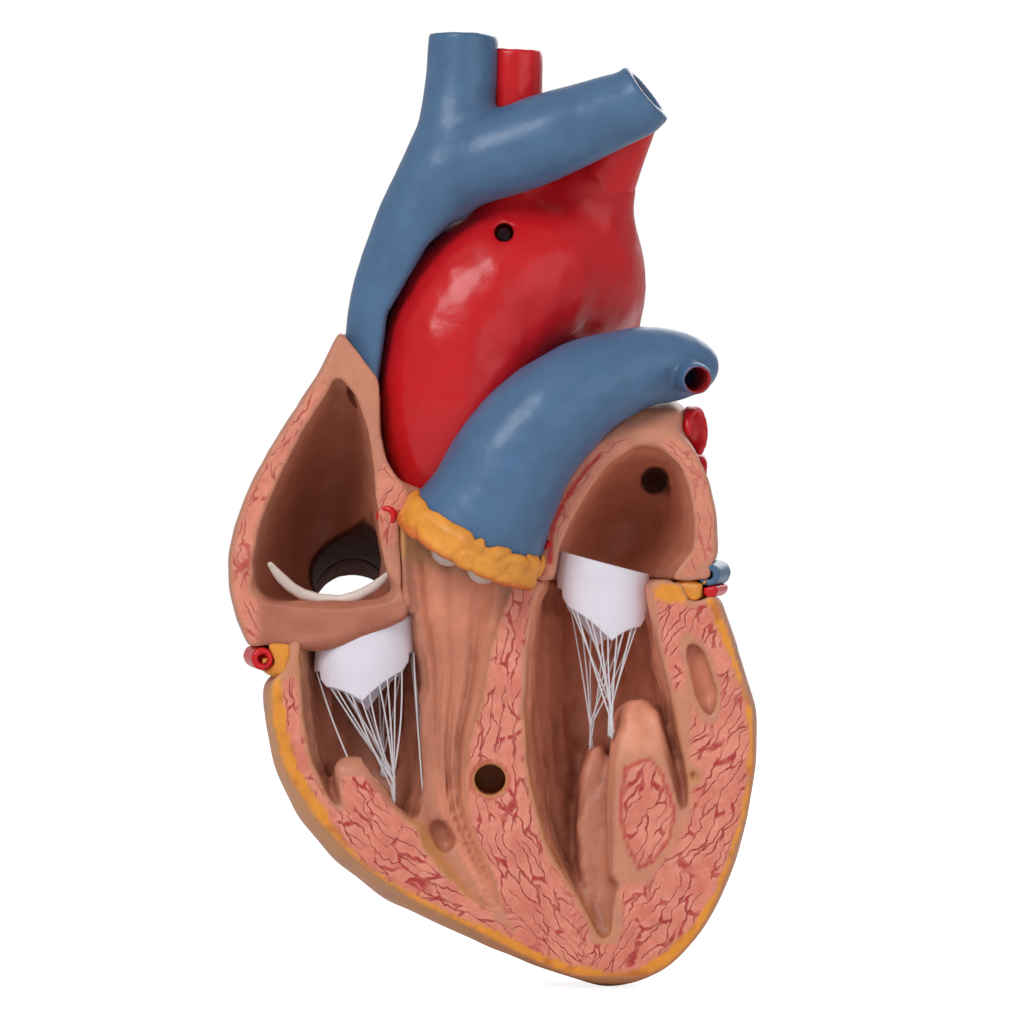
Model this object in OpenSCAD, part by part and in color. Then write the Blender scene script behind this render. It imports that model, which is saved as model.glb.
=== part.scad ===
// Rear section of a two-part human heart teaching model, life size, with the front section lifted off.
//
// Working frame: the flat mating face lies in the plane y = 0 and the viewer stands on the -Y side.
// +Y runs back into the heart, +Z is up, and x = 0, z = 0 is the centre of the lower peg hole.
// The last lines shift everything so that the mouth of the stand socket is the origin.

/* [Overall] */
// Width of the ventricles and atria together
heart_w = 106; // [88:1:128]
// Height from the apex to the top of the upper great vein
heart_h = 192; // [160:1:231]
// Depth of the castings behind the mating face
heart_d = 50; // [42:1:60]

/* [Walls] */
// Wall of the right atrium
right_atrium_wall = 4; // [3:0.1:5]
// Wall of the left atrium
left_atrium_wall = 3.6; // [2.8:0.1:4.6]
// Free wall of the right ventricle
right_ventricle_wall = 7; // [5.6:0.1:8.6]
// Free wall of the left ventricle
left_ventricle_wall = 13; // [10.6:0.1:15.8]
// Wall seen at the cut end of a vessel
vessel_wall = 1.4; // [1:0.1:1.8]
// Depth of the hollow at the cut end of a vessel
vessel_recess = 3; // [2:0.1:4]

/* [Chambers] */
// Depth of the right atrium behind the mating face
right_atrium_depth = 33; // [27:1:38]
// Depth of the left atrium behind the mating face
left_atrium_depth = 29; // [24:1:34]
// Depth of the right ventricle behind the mating face
right_ventricle_depth = 21; // [17:1:25]
// Depth of the left ventricle behind the mating face
left_ventricle_depth = 27; // [22:1:31]
// Depth of the outflow trough in front of the septum
outflow_depth = 5; // [4:0.1:6]
// Height of the muscle ridges on the chambers' walls
ridge_h = 0.8; // [0.4:0.1:1.2]
// Radius of the lower great vein's passage out of the right atrium
lower_vein_r = 8; // [6.7:0.1:9.4]

/* [Pegs and stand] */
// Diameter of the lower peg hole, in the septum
septum_hole_d = 6.2; // [5.2:0.1:7.4]
// Depth of the lower peg hole
septum_hole_l = 16; // [13:0.5:19]
// Diameter of the upper peg hole, in the aorta
aorta_hole_d = 3.8; // [3.2:0.1:4.6]
// How far behind the mating face the upper peg hole ends
aorta_hole_back = 9; // [7:0.5:11]
// Diameter of the stand's rod socket
socket_d = 6.2; // [5.2:0.1:7.4]
// Depth of the stand's rod socket
socket_l = 20; // [17:0.5:22]
// Diameter of the flat pad round the socket's mouth
socket_pad_d = 12; // [10:0.5:14]

/* [Great vessels] */
// Radius of the aorta where it rises
aorta_r = 15.5; // [13:0.1:18]
// Radius of the pulmonary trunk above its collar
trunk_r = 12; // [10:0.1:14]
// Radius of the upper great vein
upper_vein_r = 7.4; // [6.2:0.1:8.8]
// Radius of the arteries that leave the arch
branch_r = 6; // [5:0.1:7]
// Radius of the pulmonary veins
lung_vein_r = 5; // [4.2:0.1:6]
// Thickness of the fat collar round the trunk's foot
collar_t = 1.6; // [1.2:0.1:2]

/* [Heart muscle vessels] */
// Radius of the right coronary artery
right_coronary_r = 2.5; // [2.1:0.1:2.9]
// Radius of the left coronary artery's branches
left_coronary_r = 1.7; // [1.4:0.1:2]
// Radius of the vein that runs round the back of the heart
sinus_r = 2.6; // [2.2:0.1:3]
// Radius of the fat that fills the groove between atria and ventricles
groove_fat_r = 4.4; // [3.7:0.1:5.2]

/* [Valves] */
// Thickness of the foil that the cuffs are cut from
foil_t = 0.35; // [0.3:0.01:0.42]
// Height of a cuff's glued band
cuff_band_h = 7.5; // [6.3:0.1:9]
// Height of a front flap's point below its band
front_flap_h = 6.5; // [5.5:0.1:7.8]
// Height of a rear flap's point below its band
rear_flap_h = 9; // [7.5:0.1:10.8]
// Slit between a band and its flaps, along which the foil bends
crease_gap = 0.6; // [0.5:0.05:0.7]
// Diameter of a thread
thread_d = 0.5; // [0.42:0.01:0.6]
// Gap between a thread and the flap that it hangs from
thread_gap = 0.35; // [0.3:0.05:0.5]

/* [Hidden] */

// The model's places are written for a heart of this size, and move with the three overall sizes
base_size = [106, 50, 192];
grow = [heart_w / base_size[0], heart_d / base_size[1], heart_h / base_size[2]];
function at(p) = [p[0] * grow[0], p[1] * grow[1], p[2] * grow[2]];

// A box larger than the heart, and the depth by which a cut runs past a face
far = 400;
past = 1;

// ---- Smooth rows, rings and skins ----

// A smooth curve through a row of values: t of the way from value i to the next
function between(v, i, t) =
    let (a = v[max(i - 1, 0)], b = v[i], c = v[min(i + 1, len(v) - 1)], d = v[min(i + 2, len(v) - 1)])
    b + t / 2 * ((c - a) + t * ((2 * a - 5 * b + 4 * c - d) + t * (3 * (b - c) + d - a)));
function smooth(rows, steps) =
    [for (i = [0:len(rows) - 2]) for (k = [0:steps - 1]) between(rows, i, k / steps), rows[len(rows) - 1]];
function unit(v) = v / norm(v);
function middle(ring) = [for (k = [0:2]) [for (p = ring) p[k]] * [for (p = ring) 1] / len(ring)];

// A closed skin over a row of rings, each with the same count of points
module skin(rings) {
    n = len(rings[0]);
    m = len(rings);
    sides = [for (j = [0:m - 2]) for (i = [0:n - 1])
        let (a = j * n + i, b = j * n + (i + 1) % n) each [[a, b, a + n], [b, b + n, a + n]]];
    floor_fan = [for (i = [0:n - 1]) [(i + 1) % n, i, m * n]];
    roof_fan = [for (i = [0:n - 1]) [(m - 1) * n + i, (m - 1) * n + (i + 1) % n, m * n + 1]];
    polyhedron(points = [for (r = rings) each r, middle(rings[0]), middle(rings[m - 1])],
               faces = [for (f = concat(sides, floor_fan, roof_fan)) [f[2], f[1], f[0]]]);
}

// Joins what it holds into one skin
module one_skin() resize([0, 0, 0]) children();

// One level of a casting, from its right cut edge round the back to its left one. A row holds
// [height, left edge, right edge, left swell, right swell, front, depth]: the edges lie on the
// front, and each side swells that far beyond its edge before it turns to the back.
function swell_k(w, g) = sqrt(1 - pow(w / (w + g), 2));
function level_arc(row, n) =
    let (z = row[0] * grow[2], left = row[1] * grow[0], right = row[2] * grow[0],
         front = row[5] * grow[1], d = (row[6] - row[5]) * grow[1], xm = (left + right) / 2,
         w = (right - left) / 2, kr = swell_k(w, row[4]), kl = swell_k(w, row[3]))
    [for (i = [0:n])
        let (right_side = i <= n / 2, k = right_side ? kr : kl, a = w + (right_side ? row[4] : row[3]),
             y0 = k * d / (1 + k), s = right_side ? i / n * 2 : (n - i) / n * 2,
             t = -asin(k) + s * (90 + asin(k)))
        [xm + (right_side ? 1 : -1) * a * cos(t), s == 0 ? front : front + y0 + (d - y0) * sin(t), z]];

// How far back a casting reaches at one place, and where its edges are at one height
function value_at(rows, z, col) = lookup(z, [for (r = rows) [r[0], r[col]]]);
function back_at(rows, x, z) =
    let (l = value_at(rows, z, 1), r = value_at(rows, z, 2), d = value_at(rows, z, 6),
         xm = (l + r) / 2, w = (r - l) / 2, g = x > xm ? value_at(rows, z, 4) : value_at(rows, z, 3),
         k = swell_k(w, g), y0 = k * d / (1 + k))
    y0 + (d - y0) * sqrt(max(0, 1 - pow((x - xm) / (w + g), 2)));

// A casting's outer shape
module outer_form(rows, steps, n) skin([for (r = smooth(rows, steps)) level_arc(r, n)]);

// A chamber to be cut out: [height, left edge, right edge, depth], with ridges down its wall
module chamber(rows, steps, n, ridges, ridge) {
    skin([for (r = smooth(rows, steps))
        let (z = r[0] * grow[2], xm = (r[1] + r[2]) / 2 * grow[0], w = (r[2] - r[1]) / 2 * grow[0], d = r[3])
        concat([for (i = [0:n])
            let (t = i / n * 180, low = 1 - ridge / max(w, d) * (1 - cos(ridges * t * 2)) / 2)
            [xm + w * low * cos(t), d * low * sin(t), z]],
            [[xm - w, -past, z], [xm + w, -past, z]])]);
}

// ---- Vessels ----

// A vessel along a path of [x, y, z, radius]. An open end has a hollow in it.
function ring_at(c, along, r, n, ref) =
    let (u = unit(cross(along, ref)), v = cross(along, u))
    [for (i = [0:n - 1]) c + r * (cos(360 * i / n) * u + sin(360 * i / n) * v)];
function place(p) = at([p[0], p[1], p[2]]);
function heading(p, i) = unit(place(p[min(i + 1, len(p) - 1)]) - place(p[max(i - 1, 0)]));

module vessel(path, r = 1, steps = 3, n = 16, ref = [0, 1, 0], open_start = false, open_end = false) {
    p = smooth(path, steps);
    last = len(p) - 1;
    function hollow(i, side) =
        let (c = place(p[i]), h = heading(p, i), rim = p[i][3] * r)
        [ring_at(c - side * h * vessel_recess, h, (rim - vessel_wall) * 0.8, n, ref),
         ring_at(c, h, rim - vessel_wall, n, ref)];
    start = open_start ? hollow(0, -1) : [];
    end = open_end ? [hollow(last, 1)[1], hollow(last, 1)[0]] : [];
    body = [for (i = [0:last]) ring_at(place(p[i]), heading(p, i), p[i][3] * r, n, ref)];
    skin(concat(start, body, end));
}

// A cut that also clears the mating face
module clear_front() {
    children();
    translate([0, -past, 0]) children();
}

// Half-spaces for cutting
module behind(y) translate([-far / 2, y, -far / 2]) cube(far);
module below(z) translate([-far / 2, -far / 2, z - far]) cube(far);

// ---- Rows of the castings ----

// Ventricles: [height, left edge, right edge, left swell, right swell, front, depth]
ventricle_rows = [
    [-41.9, 21.6, 25.6, 1, 1, 8, 22],
    [-40.7, 20, 29.4, 2, 1, 0.8, 28],
    [-38.8, 14.6, 34, 3.4, 1, 0, 32],
    [-35.2, 6.6, 38, 5, 1, 0, 35],
    [-30.6, -2, 42, 7, 1, 0, 38],
    [-24.4, -14.7, 45.4, 8, 1, 0, 41],
    [-16.8, -26.4, 48.6, 5.6, 1, 0, 43],
    [-8, -35, 51.2, 4.4, 0.8, 0, 46],
    [2, -41.4, 52.8, 2.6, 0.8, 0, 48.5],
    [14, -44.2, 53, 1.8, 0.8, 0, 50],
    [26, -44.9, 49.2, 1.4, 0.8, 0, 49],
    [40, -44, 44.4, 1.2, 0.8, 0, 46]];
function ventricle_left(z) = value_at(ventricle_rows, z, 1);
function ventricle_right(z) = value_at(ventricle_rows, z, 2);

conus_rows = [
    [28, -17, 9.5, 0.5, 0.5, 0, 15],
    [38, -17.5, 9.6, 0.5, 0.5, 0, 15],
    [46, -18, 9.6, 0.5, 0.5, 0, 14],
    [55, -18, 9, 0.5, 0.5, 0, 13]];

right_atrium_rows = [
    [25, -47, -13, 1, 10, 0, 42],
    [32, -50, -16, 1, 14, 0, 44],
    [38, -51.6, -16.6, 1, 16, 0, 45],
    [44, -51.8, -16.6, 1, 16, 0, 45],
    [51, -50.4, -16.4, 1, 16, 0, 44],
    [58, -47.8, -17.6, 1, 15, 0, 41],
    [66, -43.6, -20.4, 1, 12, 0, 36],
    [74, -38.4, -21, 1, 9, 0, 30],
    [82, -33.2, -21.4, 1, 5, 0, 24],
    [90, -29.8, -22.4, 0.5, 2, 0, 18]];

left_atrium_rows = [
    [38, 9, 44, 13, 0.8, 0, 45],
    [46, 9.6, 45, 15, 0.8, 0, 46],
    [53, 11.4, 44.8, 16, 0.8, 0, 46],
    [60, 14, 43.4, 16, 0.6, 0, 44],
    [66, 19, 40.6, 15, 0.6, 0, 42],
    [70, 25, 37.4, 15, 1.5, 0.6, 40],
    [74, 27, 38, 10, 2, 5, 36],
    [76.6, 29, 36, 4, 1, 12, 26]];

// The joint between right atrium and ventricles climbs to the right, and the left one is level
right_joint_z = 27;
right_joint_x = -46;
right_joint_slope = 0.2;
left_joint_z = 40;
joint_step_x = -8;
function right_joint(x) = (right_joint_z + right_joint_slope * (x - right_joint_x));

module above_right_joint() {
    x0 = -70;
    x1 = 30;
    rotate([90, 0, 0]) translate([0, 0, -far / 2]) linear_extrude(far)
        polygon([[x0 * grow[0], right_joint(x0) * grow[2]], [x1 * grow[0], right_joint(x1) * grow[2]],
                 [x1 * grow[0], far], [x0 * grow[0], far]]);
}

// The conus and the trunk meet on a slope, given by two places on it
mouth_left = [-18, 53.5];
mouth_right = [9, 39];
mouth_slope = (mouth_right[1] - mouth_left[1]) / (mouth_right[0] - mouth_left[0]);
function mouth_z(x) = mouth_left[1] + mouth_slope * (x - mouth_left[0]);

module above_mouth() {
    x0 = -60;
    x1 = 60;
    rotate([90, 0, 0]) translate([0, 0, -far / 2]) linear_extrude(far)
        polygon([[x0 * grow[0], mouth_z(x0) * grow[2]], [x1 * grow[0], mouth_z(x1) * grow[2]],
                 [x1 * grow[0], far], [x0 * grow[0], far]]);
}

module ventricle_form() {
    difference() {
        outer_form(ventricle_rows, 1, 20);
        difference() {
            above_right_joint();
            translate([joint_step_x * grow[0], -far / 2, -far / 2]) cube(far);
        }
    }
}

// All that lies behind the mating face and below the left joint
module ventricle_block() {
    intersection() {
        behind(0);
        below(left_joint_z * grow[2]);
    }
}

module conus_form() {
    difference() {
        outer_form(conus_rows, 1, 12);
        above_mouth();
    }
}

module right_atrium_form() {
    intersection() {
        outer_form(right_atrium_rows, 1, 16);
        above_right_joint();
    }
}

module left_atrium_form() {
    difference() {
        outer_form(left_atrium_rows, 1, 16);
        below(left_joint_z * grow[2]);
    }
}

// ---- Chambers ----

module right_ventricle_chamber() {
    edge = [for (r = [[34, 0], [27, 0], [20, -0.4], [12, -0.6], [4, -0.9], [-3, -1.5], [-8, -1.2], [-12, -1], [-14.5, 3]])
        ventricle_left(r[0]) + r[1]];
    rows = [
        [34, -15, 0.7], [27, -13.6, 0.95], [20, -13, 1], [12, -12.6, 1], [4, -12.4, 0.92],
        [-3, -12.6, 0.76], [-8, -13.5, 0.56], [-12, -18, 0.38], [-14.5, -25, 0.15]];
    difference() {
        chamber([for (i = [len(rows) - 1:-1:0])
            [rows[i][0], edge[i] + right_ventricle_wall / grow[0], rows[i][1], rows[i][2] * right_ventricle_depth]],
            1, 24, 5, ridge_h);
        outer_form([[-18, -26, -10, 1, 1, 0, 14], [-12.6, -26.4, -11, 1, 1, 0, 13],
                    [-8.4, -28.3, -16, 1, 1, 0, 12], [-5, -29.4, -20, 1, 1, 0, 11],
                    [-1, -30.4, -23, 1, 1, 0, 10], [2.4, -30.6, -25, 1, 1, 0.4, 8.6],
                    [4.6, -28.8, -26.6, 0.6, 0.6, 2.6, 6]], 1, 12);
    }
}

module left_ventricle_chamber() {
    extra = [0, 0.3, 2.2, 3, 1, -0.5, -1, 4, 8, 8, 4.5, 4];
    rows = [
        [42, 12.4, 0.86], [36, 9, 0.96], [26, 7.4, 1], [14, 6.8, 1], [4, 7.4, 0.96], [-2, 8.4, 0.9],
        [-7, 9.6, 0.82], [-12, 11, 0.7], [-17, 13.4, 0.6], [-24, 18, 0.42], [-31, 21.6, 0.22], [-33.5, 22.6, 0.08]];
    difference() {
        chamber([for (i = [len(rows) - 1:-1:0])
            [rows[i][0], rows[i][1], ventricle_right(rows[i][0]) - (left_ventricle_wall + extra[i]) / grow[0],
             rows[i][2] * left_ventricle_depth]], 1, 24, 5, ridge_h);
        // The front papillary muscle, with its cut face on the mating face
        outer_form([[-20, 24.4, 37, 1, 1, 0, 21], [-12, 24.6, 39, 1, 1, 0, 20], [-5, 24.6, 37.6, 1, 1, 0, 19],
                    [3.6, 25, 35.4, 1, 1, 0, 17], [8, 25.4, 34.6, 0.8, 0.8, 1, 16],
                    [13, 25.8, 33.4, 0.6, 0.6, 3.4, 14], [15.6, 28, 31.4, 0.4, 0.4, 6, 10]], 1, 14);
        // The rear papillary muscle, a slender ridge farther back
        outer_form([[-32, 20, 24, 0.4, 0.4, 2.4, 20], [-22, 18.4, 24.6, 0.4, 0.4, 5, 24],
                    [-10, 18, 24.2, 0.4, 0.4, 7.4, 28], [0, 18.8, 23.8, 0.4, 0.4, 9, 30],
                    [6, 20.4, 23.2, 0.4, 0.4, 11, 30]], 1, 10);
    }
}

module outflow_trough() {
    rows = [
        [-26, -0.5, 3, 0.3], [-19, -9, 0.8, 0.6], [-13, -14, -2.4, 0.8], [-6, -14.6, -4.4, 0.9],
        [0, -15, -5, 0.95], [8, -15, -4, 1], [16, -15, -1.4, 1], [26, -15, 0, 1], [34, -16, 3, 1],
        [42, -17, 5.4, 1], [50, -17, 6, 0.9], [56, -17, 6, 0.9]];
    chamber([for (r = rows) [r[0], r[1], r[2], r[3] * outflow_depth]], 1, 12, 3, ridge_h);
}

// Pockets between the muscle ridges, open on the mating face
module wall_pockets() {
    vessel([[39, 1.4, 29, 0.6], [41, 1.6, 25.4, 2.2], [43.4, 1.6, 17, 2.6], [44.4, 1.2, 11.6, 0.8]], 1, 1, 8);
    vessel([[38.2, 0.4, 15.6, 0.4], [39.4, 0.6, 12.6, 0.9], [40.6, 0.4, 10, 0.4]], 1, 1, 6);
    vessel([[40.4, 0.4, 3.6, 0.3], [41, 0.6, 0.8, 1.3], [41.4, 0.4, -1, 0.3]], 1, 1, 6);
    vessel([[-11.4, 0.2, -8, 0.6], [-10, 0.6, -11, 2.6], [-8.4, 0.2, -14, 0.6]], 1, 1, 8);
    vessel([[-6.4, 0.2, -19.4, 0.4], [-4, 0.4, -22, 1.7], [-1.6, 0.2, -24.6, 0.4]], 1, 1, 6);
}

module right_atrium_chamber() {
    rows = [
        [35.6, 2.4, -20, 0.8], [38, 0.4, -19.4, 0.92], [44, 0, -21, 1], [52, 0, -22.4, 1], [62, 0, -23, 0.84],
        [70, -0.6, -24.2, 0.6], [77, -0.6, -26.6, 0.3], [81, -1.4, -29.8, 0.1]];
    chamber([for (r = rows)
        [r[0], value_at(right_atrium_rows, r[0], 1) + (right_atrium_wall + r[1]) / grow[0], r[2],
         r[3] * right_atrium_depth]], 1, 14, 3, ridge_h / 2);
}

module left_atrium_chamber() {
    rows = [
        [38, 11.6, 7, 0.86], [41, 12.6, 4, 0.92], [46, 13.6, 0.4, 1], [52, 16, 0, 1], [58, 19.5, 0, 0.84],
        [63, 23, 0, 0.56], [66.8, 29, 2.4, 0.2]];
    chamber([for (r = rows)
        [r[0], r[1], value_at(left_atrium_rows, r[0], 2) - (left_atrium_wall + r[2]) / grow[0],
         r[3] * left_atrium_depth]], 1, 14, 3, ridge_h / 2);
}

// The passage of the lower great vein falls towards the back
lower_vein_start = [-29, 12, 48.2];
lower_vein_end = [-29, 54, 31.4];
lower_vein_mouth = [-29, 51, 32.6];
lower_vein_seat = 40;

module lower_vein_passage(r, end) {
    vessel([concat(lower_vein_start, 1), concat(end, 1)], r, 1, 18, [1, 0, 0]);
}

// The passage of the left upper lung vein opens high in the left atrium
module lung_vein_passage() {
    vessel([[31, 17, 57, 1], [36, 21, 61, 1], [41, 24, 65, 1]], lung_vein_r - vessel_wall * 1.4, 1, 12);
}

// ---- Vessel forms, before their neighbours are cut out of them ----

aorta_path = [
    [-4, 21, 36, 0.65], [-5.5, 19, 50, 0.7], [-7, 15, 62, 0.86], [-7, 13, 72, 0.97], [-6, 12.4, 83, 1],
    [-1.5, 13.4, 94, 1.05], [7, 16, 102, 1.06], [15, 23, 104, 0.95], [19, 31.5, 99.5, 0.8],
    [19.4, 36.6, 90, 0.7], [19, 38, 80, 0.66]];
module aorta_form() vessel(aorta_path, aorta_r, 2, 14, [0, 1, 0], false, true);

// The trunk stands square on the conus and ends in a round tip
trunk_path = [
    [-4.4, 2, 46.2, 1.22], [0, 0, 55, 1.08], [4.5, -1, 64, 1.01], [10, -1, 71, 0.94], [17, 0, 77, 0.85],
    [24.5, 2, 80.8, 0.74], [31, 4, 82.8, 0.66], [37, 6, 83, 0.58], [41, 7.4, 83, 0.42], [43, 8, 83, 0.16]];
trunk_mouth_depth = 1.2;
module trunk_form() vessel(trunk_path, trunk_r, 1, 16);
function trunk_up() = unit(place(trunk_path[1]) - place(trunk_path[0]));

// A cylinder across the trunk's foot
module across_mouth(r, from, to, n) {
    c = place(trunk_path[0]);
    up = trunk_up();
    skin([for (s = [from, to]) ring_at(c + s * up, up, r, n, [0, 1, 0])]);
}

upper_vein_path = [
    [-22.6, 8.6, 78, 0.86], [-22, 8, 90, 0.95], [-20, 7.4, 99, 1], [-15.4, 6, 111, 1.06], [-10.4, 5, 121, 1.1],
    [-7.2, 5.4, 130, 1.02], [-5.8, 6, 140, 0.96], [-5.4, 6, 149.6, 0.94]];
left_vein_path = [
    [-10, 5, 119, 0.9], [-2, 2.4, 124, 1.16], [7, 1, 127, 1.2], [15, 0.4, 130, 1.14], [23, -0.2, 133, 1.02],
    [29, -0.6, 135.4, 0.94], [31.4, -1.2, 137.6, 0.9]];
module upper_vein_form() {
    vessel(upper_vein_path, upper_vein_r, 1, 14, [0, 1, 0], false, true);
}
module left_vein_form() vessel(left_vein_path, upper_vein_r, 1, 14, [0, 1, 0], false, true);

brachiocephalic_path = [[3, 14, 108, 1], [3.8, 12, 122, 1], [4.6, 10.6, 136, 1], [4.8, 10, 147.4, 1]];
module brachiocephalic_form() vessel(brachiocephalic_path, branch_r, 1, 14, [0, 1, 0], false, true);
carotid_path = [[12, 20, 110, 1], [13.4, 16, 121, 0.8], [15.4, 14, 133, 0.7]];
module carotid_form() vessel(carotid_path, branch_r, 1, 12, [0, 1, 0], false, true);
subclavian_path = [[18.4, 22, 106, 1.6], [20.6, 17.4, 117, 1.34], [25.6, 13, 126.6, 1.02], [31.4, 9.6, 137, 0.72]];
module subclavian_form() vessel(subclavian_path, branch_r, 1, 14, [0, 1, 0], false, true);

right_lung_artery_path = [[20, 6, 79, 0.55], [14, 20, 82.4, 0.55], [2, 29, 84, 0.54], [-12, 31, 85, 0.54],
                          [-21, 29.6, 86, 0.52], [-26, 27.4, 86.4, 0.52]];
module right_lung_artery_form() vessel(right_lung_artery_path, trunk_r, 1, 10, [0, 0, 1], false, true);

module lung_vein(path) vessel(path, lung_vein_r, 1, 12, [0, 0, 1], false, true);

// ---- The groove between atria and ventricles, from each side to where they meet at the back ----

right_groove = [
    [-42.4, 0, 24.6], [-44.6, 10, 25], [-43.8, 21, 25], [-38.8, 31, 23.6], [-29.6, 40, 22],
    [-18.8, 45.6, 26.4], [-8, 47.6, 33.2]];
left_groove = [
    [40.2, 0, 39.6], [42.8, 10, 40], [41.6, 20, 40], [36.6, 29.6, 39.6], [28, 38, 39],
    [17.6, 43.6, 38], [7, 46.6, 36.4], [-2, 47.8, 35]];
function along_groove(points, out, up, r) =
    [for (p = points) let (d = unit([p[0], p[1] * 0.8, 0])) [p[0] + out * d[0], p[1] + out * d[1], p[2] + up, r]];

module right_coronary_form() {
    vessel(along_groove(right_groove, 3, -0.4, 1), right_coronary_r, 1, 8, [0, 0, 1], true, false);
}
module sinus_form() {
    path = along_groove(left_groove, 3.4, 1.4, 1);
    vessel([for (i = [0:len(path) - 1]) [path[i][0], path[i][1], path[i][2], 0.95 + i * 0.06]],
           sinus_r, 1, 8, [0, 0, 1], true, false);
}
module circumflex_form() {
    vessel(along_groove([for (i = [0:5]) left_groove[i]], 3.8, -1.7, 1), left_coronary_r, 1, 8, [0, 0, 1], true, false);
}
module groove_fat(points) {
    vessel([for (p = points) [p[0], p[1], p[2], 1]], groove_fat_r, 1, 8, [0, 0, 1]);
}

// Two vessels side by side run down the back of the ventricles, on their surface
module rear_vessel(side, r) {
    rows = [[-7, 31], [-5.4, 20], [-2, 8], [3, -4], [9, -15], [15, -24]];
    vessel([for (i = [0:len(rows) - 1])
        let (x = rows[i][0] + side, z = rows[i][1])
        [x, back_at(ventricle_rows, x, z) + 0.3, z, 1 - i * 0.1]], r, 1, 8, [1, 0, 0]);
}

// ---- Castings ----

module ventricles() {
    difference() {
        union() {
            ventricle_form();
            conus_form();
        }
        right_ventricle_chamber();
        left_ventricle_chamber();
        outflow_trough();
        wall_pockets();
        lower_vein_passage(lower_vein_r, lower_vein_end);
        left_coronary_origin_form();
        groove_fat(right_groove);
        groove_fat(left_groove);
        right_coronary_form();
        circumflex_form();
        sinus_form();
    }
}

// The cast ventricles are told apart above, below and on both sides of the septum round its hole
septum_above = 16.3;
septum_below = -13.3;
septum_right = -8.3;
septum_left = 9.3;
module ventricle_section(low, high) {
    one_skin() intersection() {
        ventricles();
        translate(at(low)) cube(at(high - low));
    }
}

module ventricle_base()
    color("#d98b72") ventricle_section([-far, -far, septum_above], [far, far, far]);
module right_ventricle_wall()
    color("#d98b72") ventricle_section([-far, -far, septum_below], [septum_right, far, septum_above]);
module left_ventricle_wall()
    color("#d98b72") ventricle_section([septum_left, -far, septum_below], [far, far, septum_above]);
module ventricle_septum() {
    color("#d98b72") difference() {
        ventricle_section([septum_right, -far, septum_below], [septum_left, far, septum_above]);
        septum_peg_hole();
    }
}
module ventricle_apex() {
    color("#d98b72") difference() {
        ventricle_section([-far, -far, -far], [far, far, septum_below]);
        stand_socket();
    }
}

module septum_peg_hole() {
    translate([0, septum_hole_l, 0]) rotate([90, 0, 0]) cylinder(d = septum_hole_d, h = septum_hole_l + past, $fn = 64);
}

socket_mouth = at([14, 22, -39]);
module stand_socket() {
    translate(socket_mouth) {
        cylinder(d = socket_d, h = socket_l, $fn = 64);
        translate([0, 0, -far / 10]) cylinder(d = socket_pad_d, h = far / 10, $fn = 64);
    }
}

// The right atrium's cut face stops where the upper vein and the aorta stand in front of it
vessel_step = [[-15, 58.4], [-18.6, 60], [-21, 64], [-22.2, 70], [-22.4, 80], [-29.6, 89.2],
               [-29.6, 100], [0, 100], [0, 58.4]];
vessel_step_depth = 12;
module vessel_step() {
    translate([0, vessel_step_depth * grow[1], 0]) rotate([90, 0, 0])
        linear_extrude(vessel_step_depth * grow[1] + past)
            polygon([for (p = vessel_step) [p[0] * grow[0], p[1] * grow[2]]]);
}

module right_atrium_casting() {
    color("#d99a80") one_skin() difference() {
        right_atrium_form();
        right_atrium_chamber();
        lower_vein_passage(lower_vein_r, lower_vein_end);
        clear_front() ventricle_form();
        clear_front() conus_form();
        clear_front() left_atrium_form();
        vessel_step();
        aorta_form();
        trunk_form();
        upper_vein_form();
        right_coronary_origin_form();
    }
}

module left_atrium_casting() {
    color("#d99a80") one_skin() difference() {
        left_atrium_form();
        left_atrium_chamber();
        lung_vein_passage();
        clear_front() conus_form();
        aorta_form();
        trunk_form();
        left_coronary_origin_form();
        sinus_form();
    }
}

// ---- Great vessels ----

module aorta() {
    color("#c81e24") difference() {
        one_skin() difference() {
            aorta_form();
            trunk_form();
            conus_form();
            below(left_joint_z * grow[2]);
        }
        aorta_peg_hole();
    }
}

aorta_hole = at([2.8, 0, 109.6]);
module aorta_peg_hole() {
    translate([aorta_hole[0], aorta_hole_back, aorta_hole[2]]) rotate([90, 0, 0])
        cylinder(d = aorta_hole_d, h = far / 10, $fn = 48);
}

module brachiocephalic_artery() {
    color("#c81e24") one_skin() difference() {
        brachiocephalic_form();
        aorta_form();
        left_vein_form();
    }
}

module left_carotid_artery() {
    color("#c81e24") one_skin() difference() {
        carotid_form();
        aorta_form();
        left_vein_form();
        brachiocephalic_form();
    }
}

module left_subclavian_artery() {
    color("#c81e24") one_skin() difference() {
        subclavian_form();
        aorta_form();
        left_vein_form();
        carotid_form();
    }
}

module upper_great_vein() {
    color("#4f77a0") one_skin() difference() {
        union() {
            left_vein_form();
            difference() {
                upper_vein_form();
                brachiocephalic_form();
            }
        }
        aorta_form();
    }
}

module lower_great_vein() {
    color("#4f77a0") one_skin() difference() {
        intersection() {
            lower_vein_passage(lower_vein_r + vessel_wall, lower_vein_mouth);
            behind(lower_vein_seat * grow[1]);
        }
        lower_vein_passage(lower_vein_r, lower_vein_end);
        right_atrium_form();
        ventricle_form();
        groove_fat(right_groove);
        right_coronary_form();
    }
}

module pulmonary_trunk() {
    color("#4f77a0") one_skin() difference() {
        trunk_form();
        across_mouth(trunk_r * trunk_path[0][3] - vessel_wall, -past, trunk_mouth_depth, 16);
        conus_form();
        ventricle_block();
        trunk_end_hole();
    }
}

// The small artery opening at the trunk's tip
module trunk_end_hole() {
    vessel([[41.4, -6, 80, 1], [38.6, 4, 81, 1]], 2.2, 1, 12, [0, 0, 1]);
}

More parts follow.
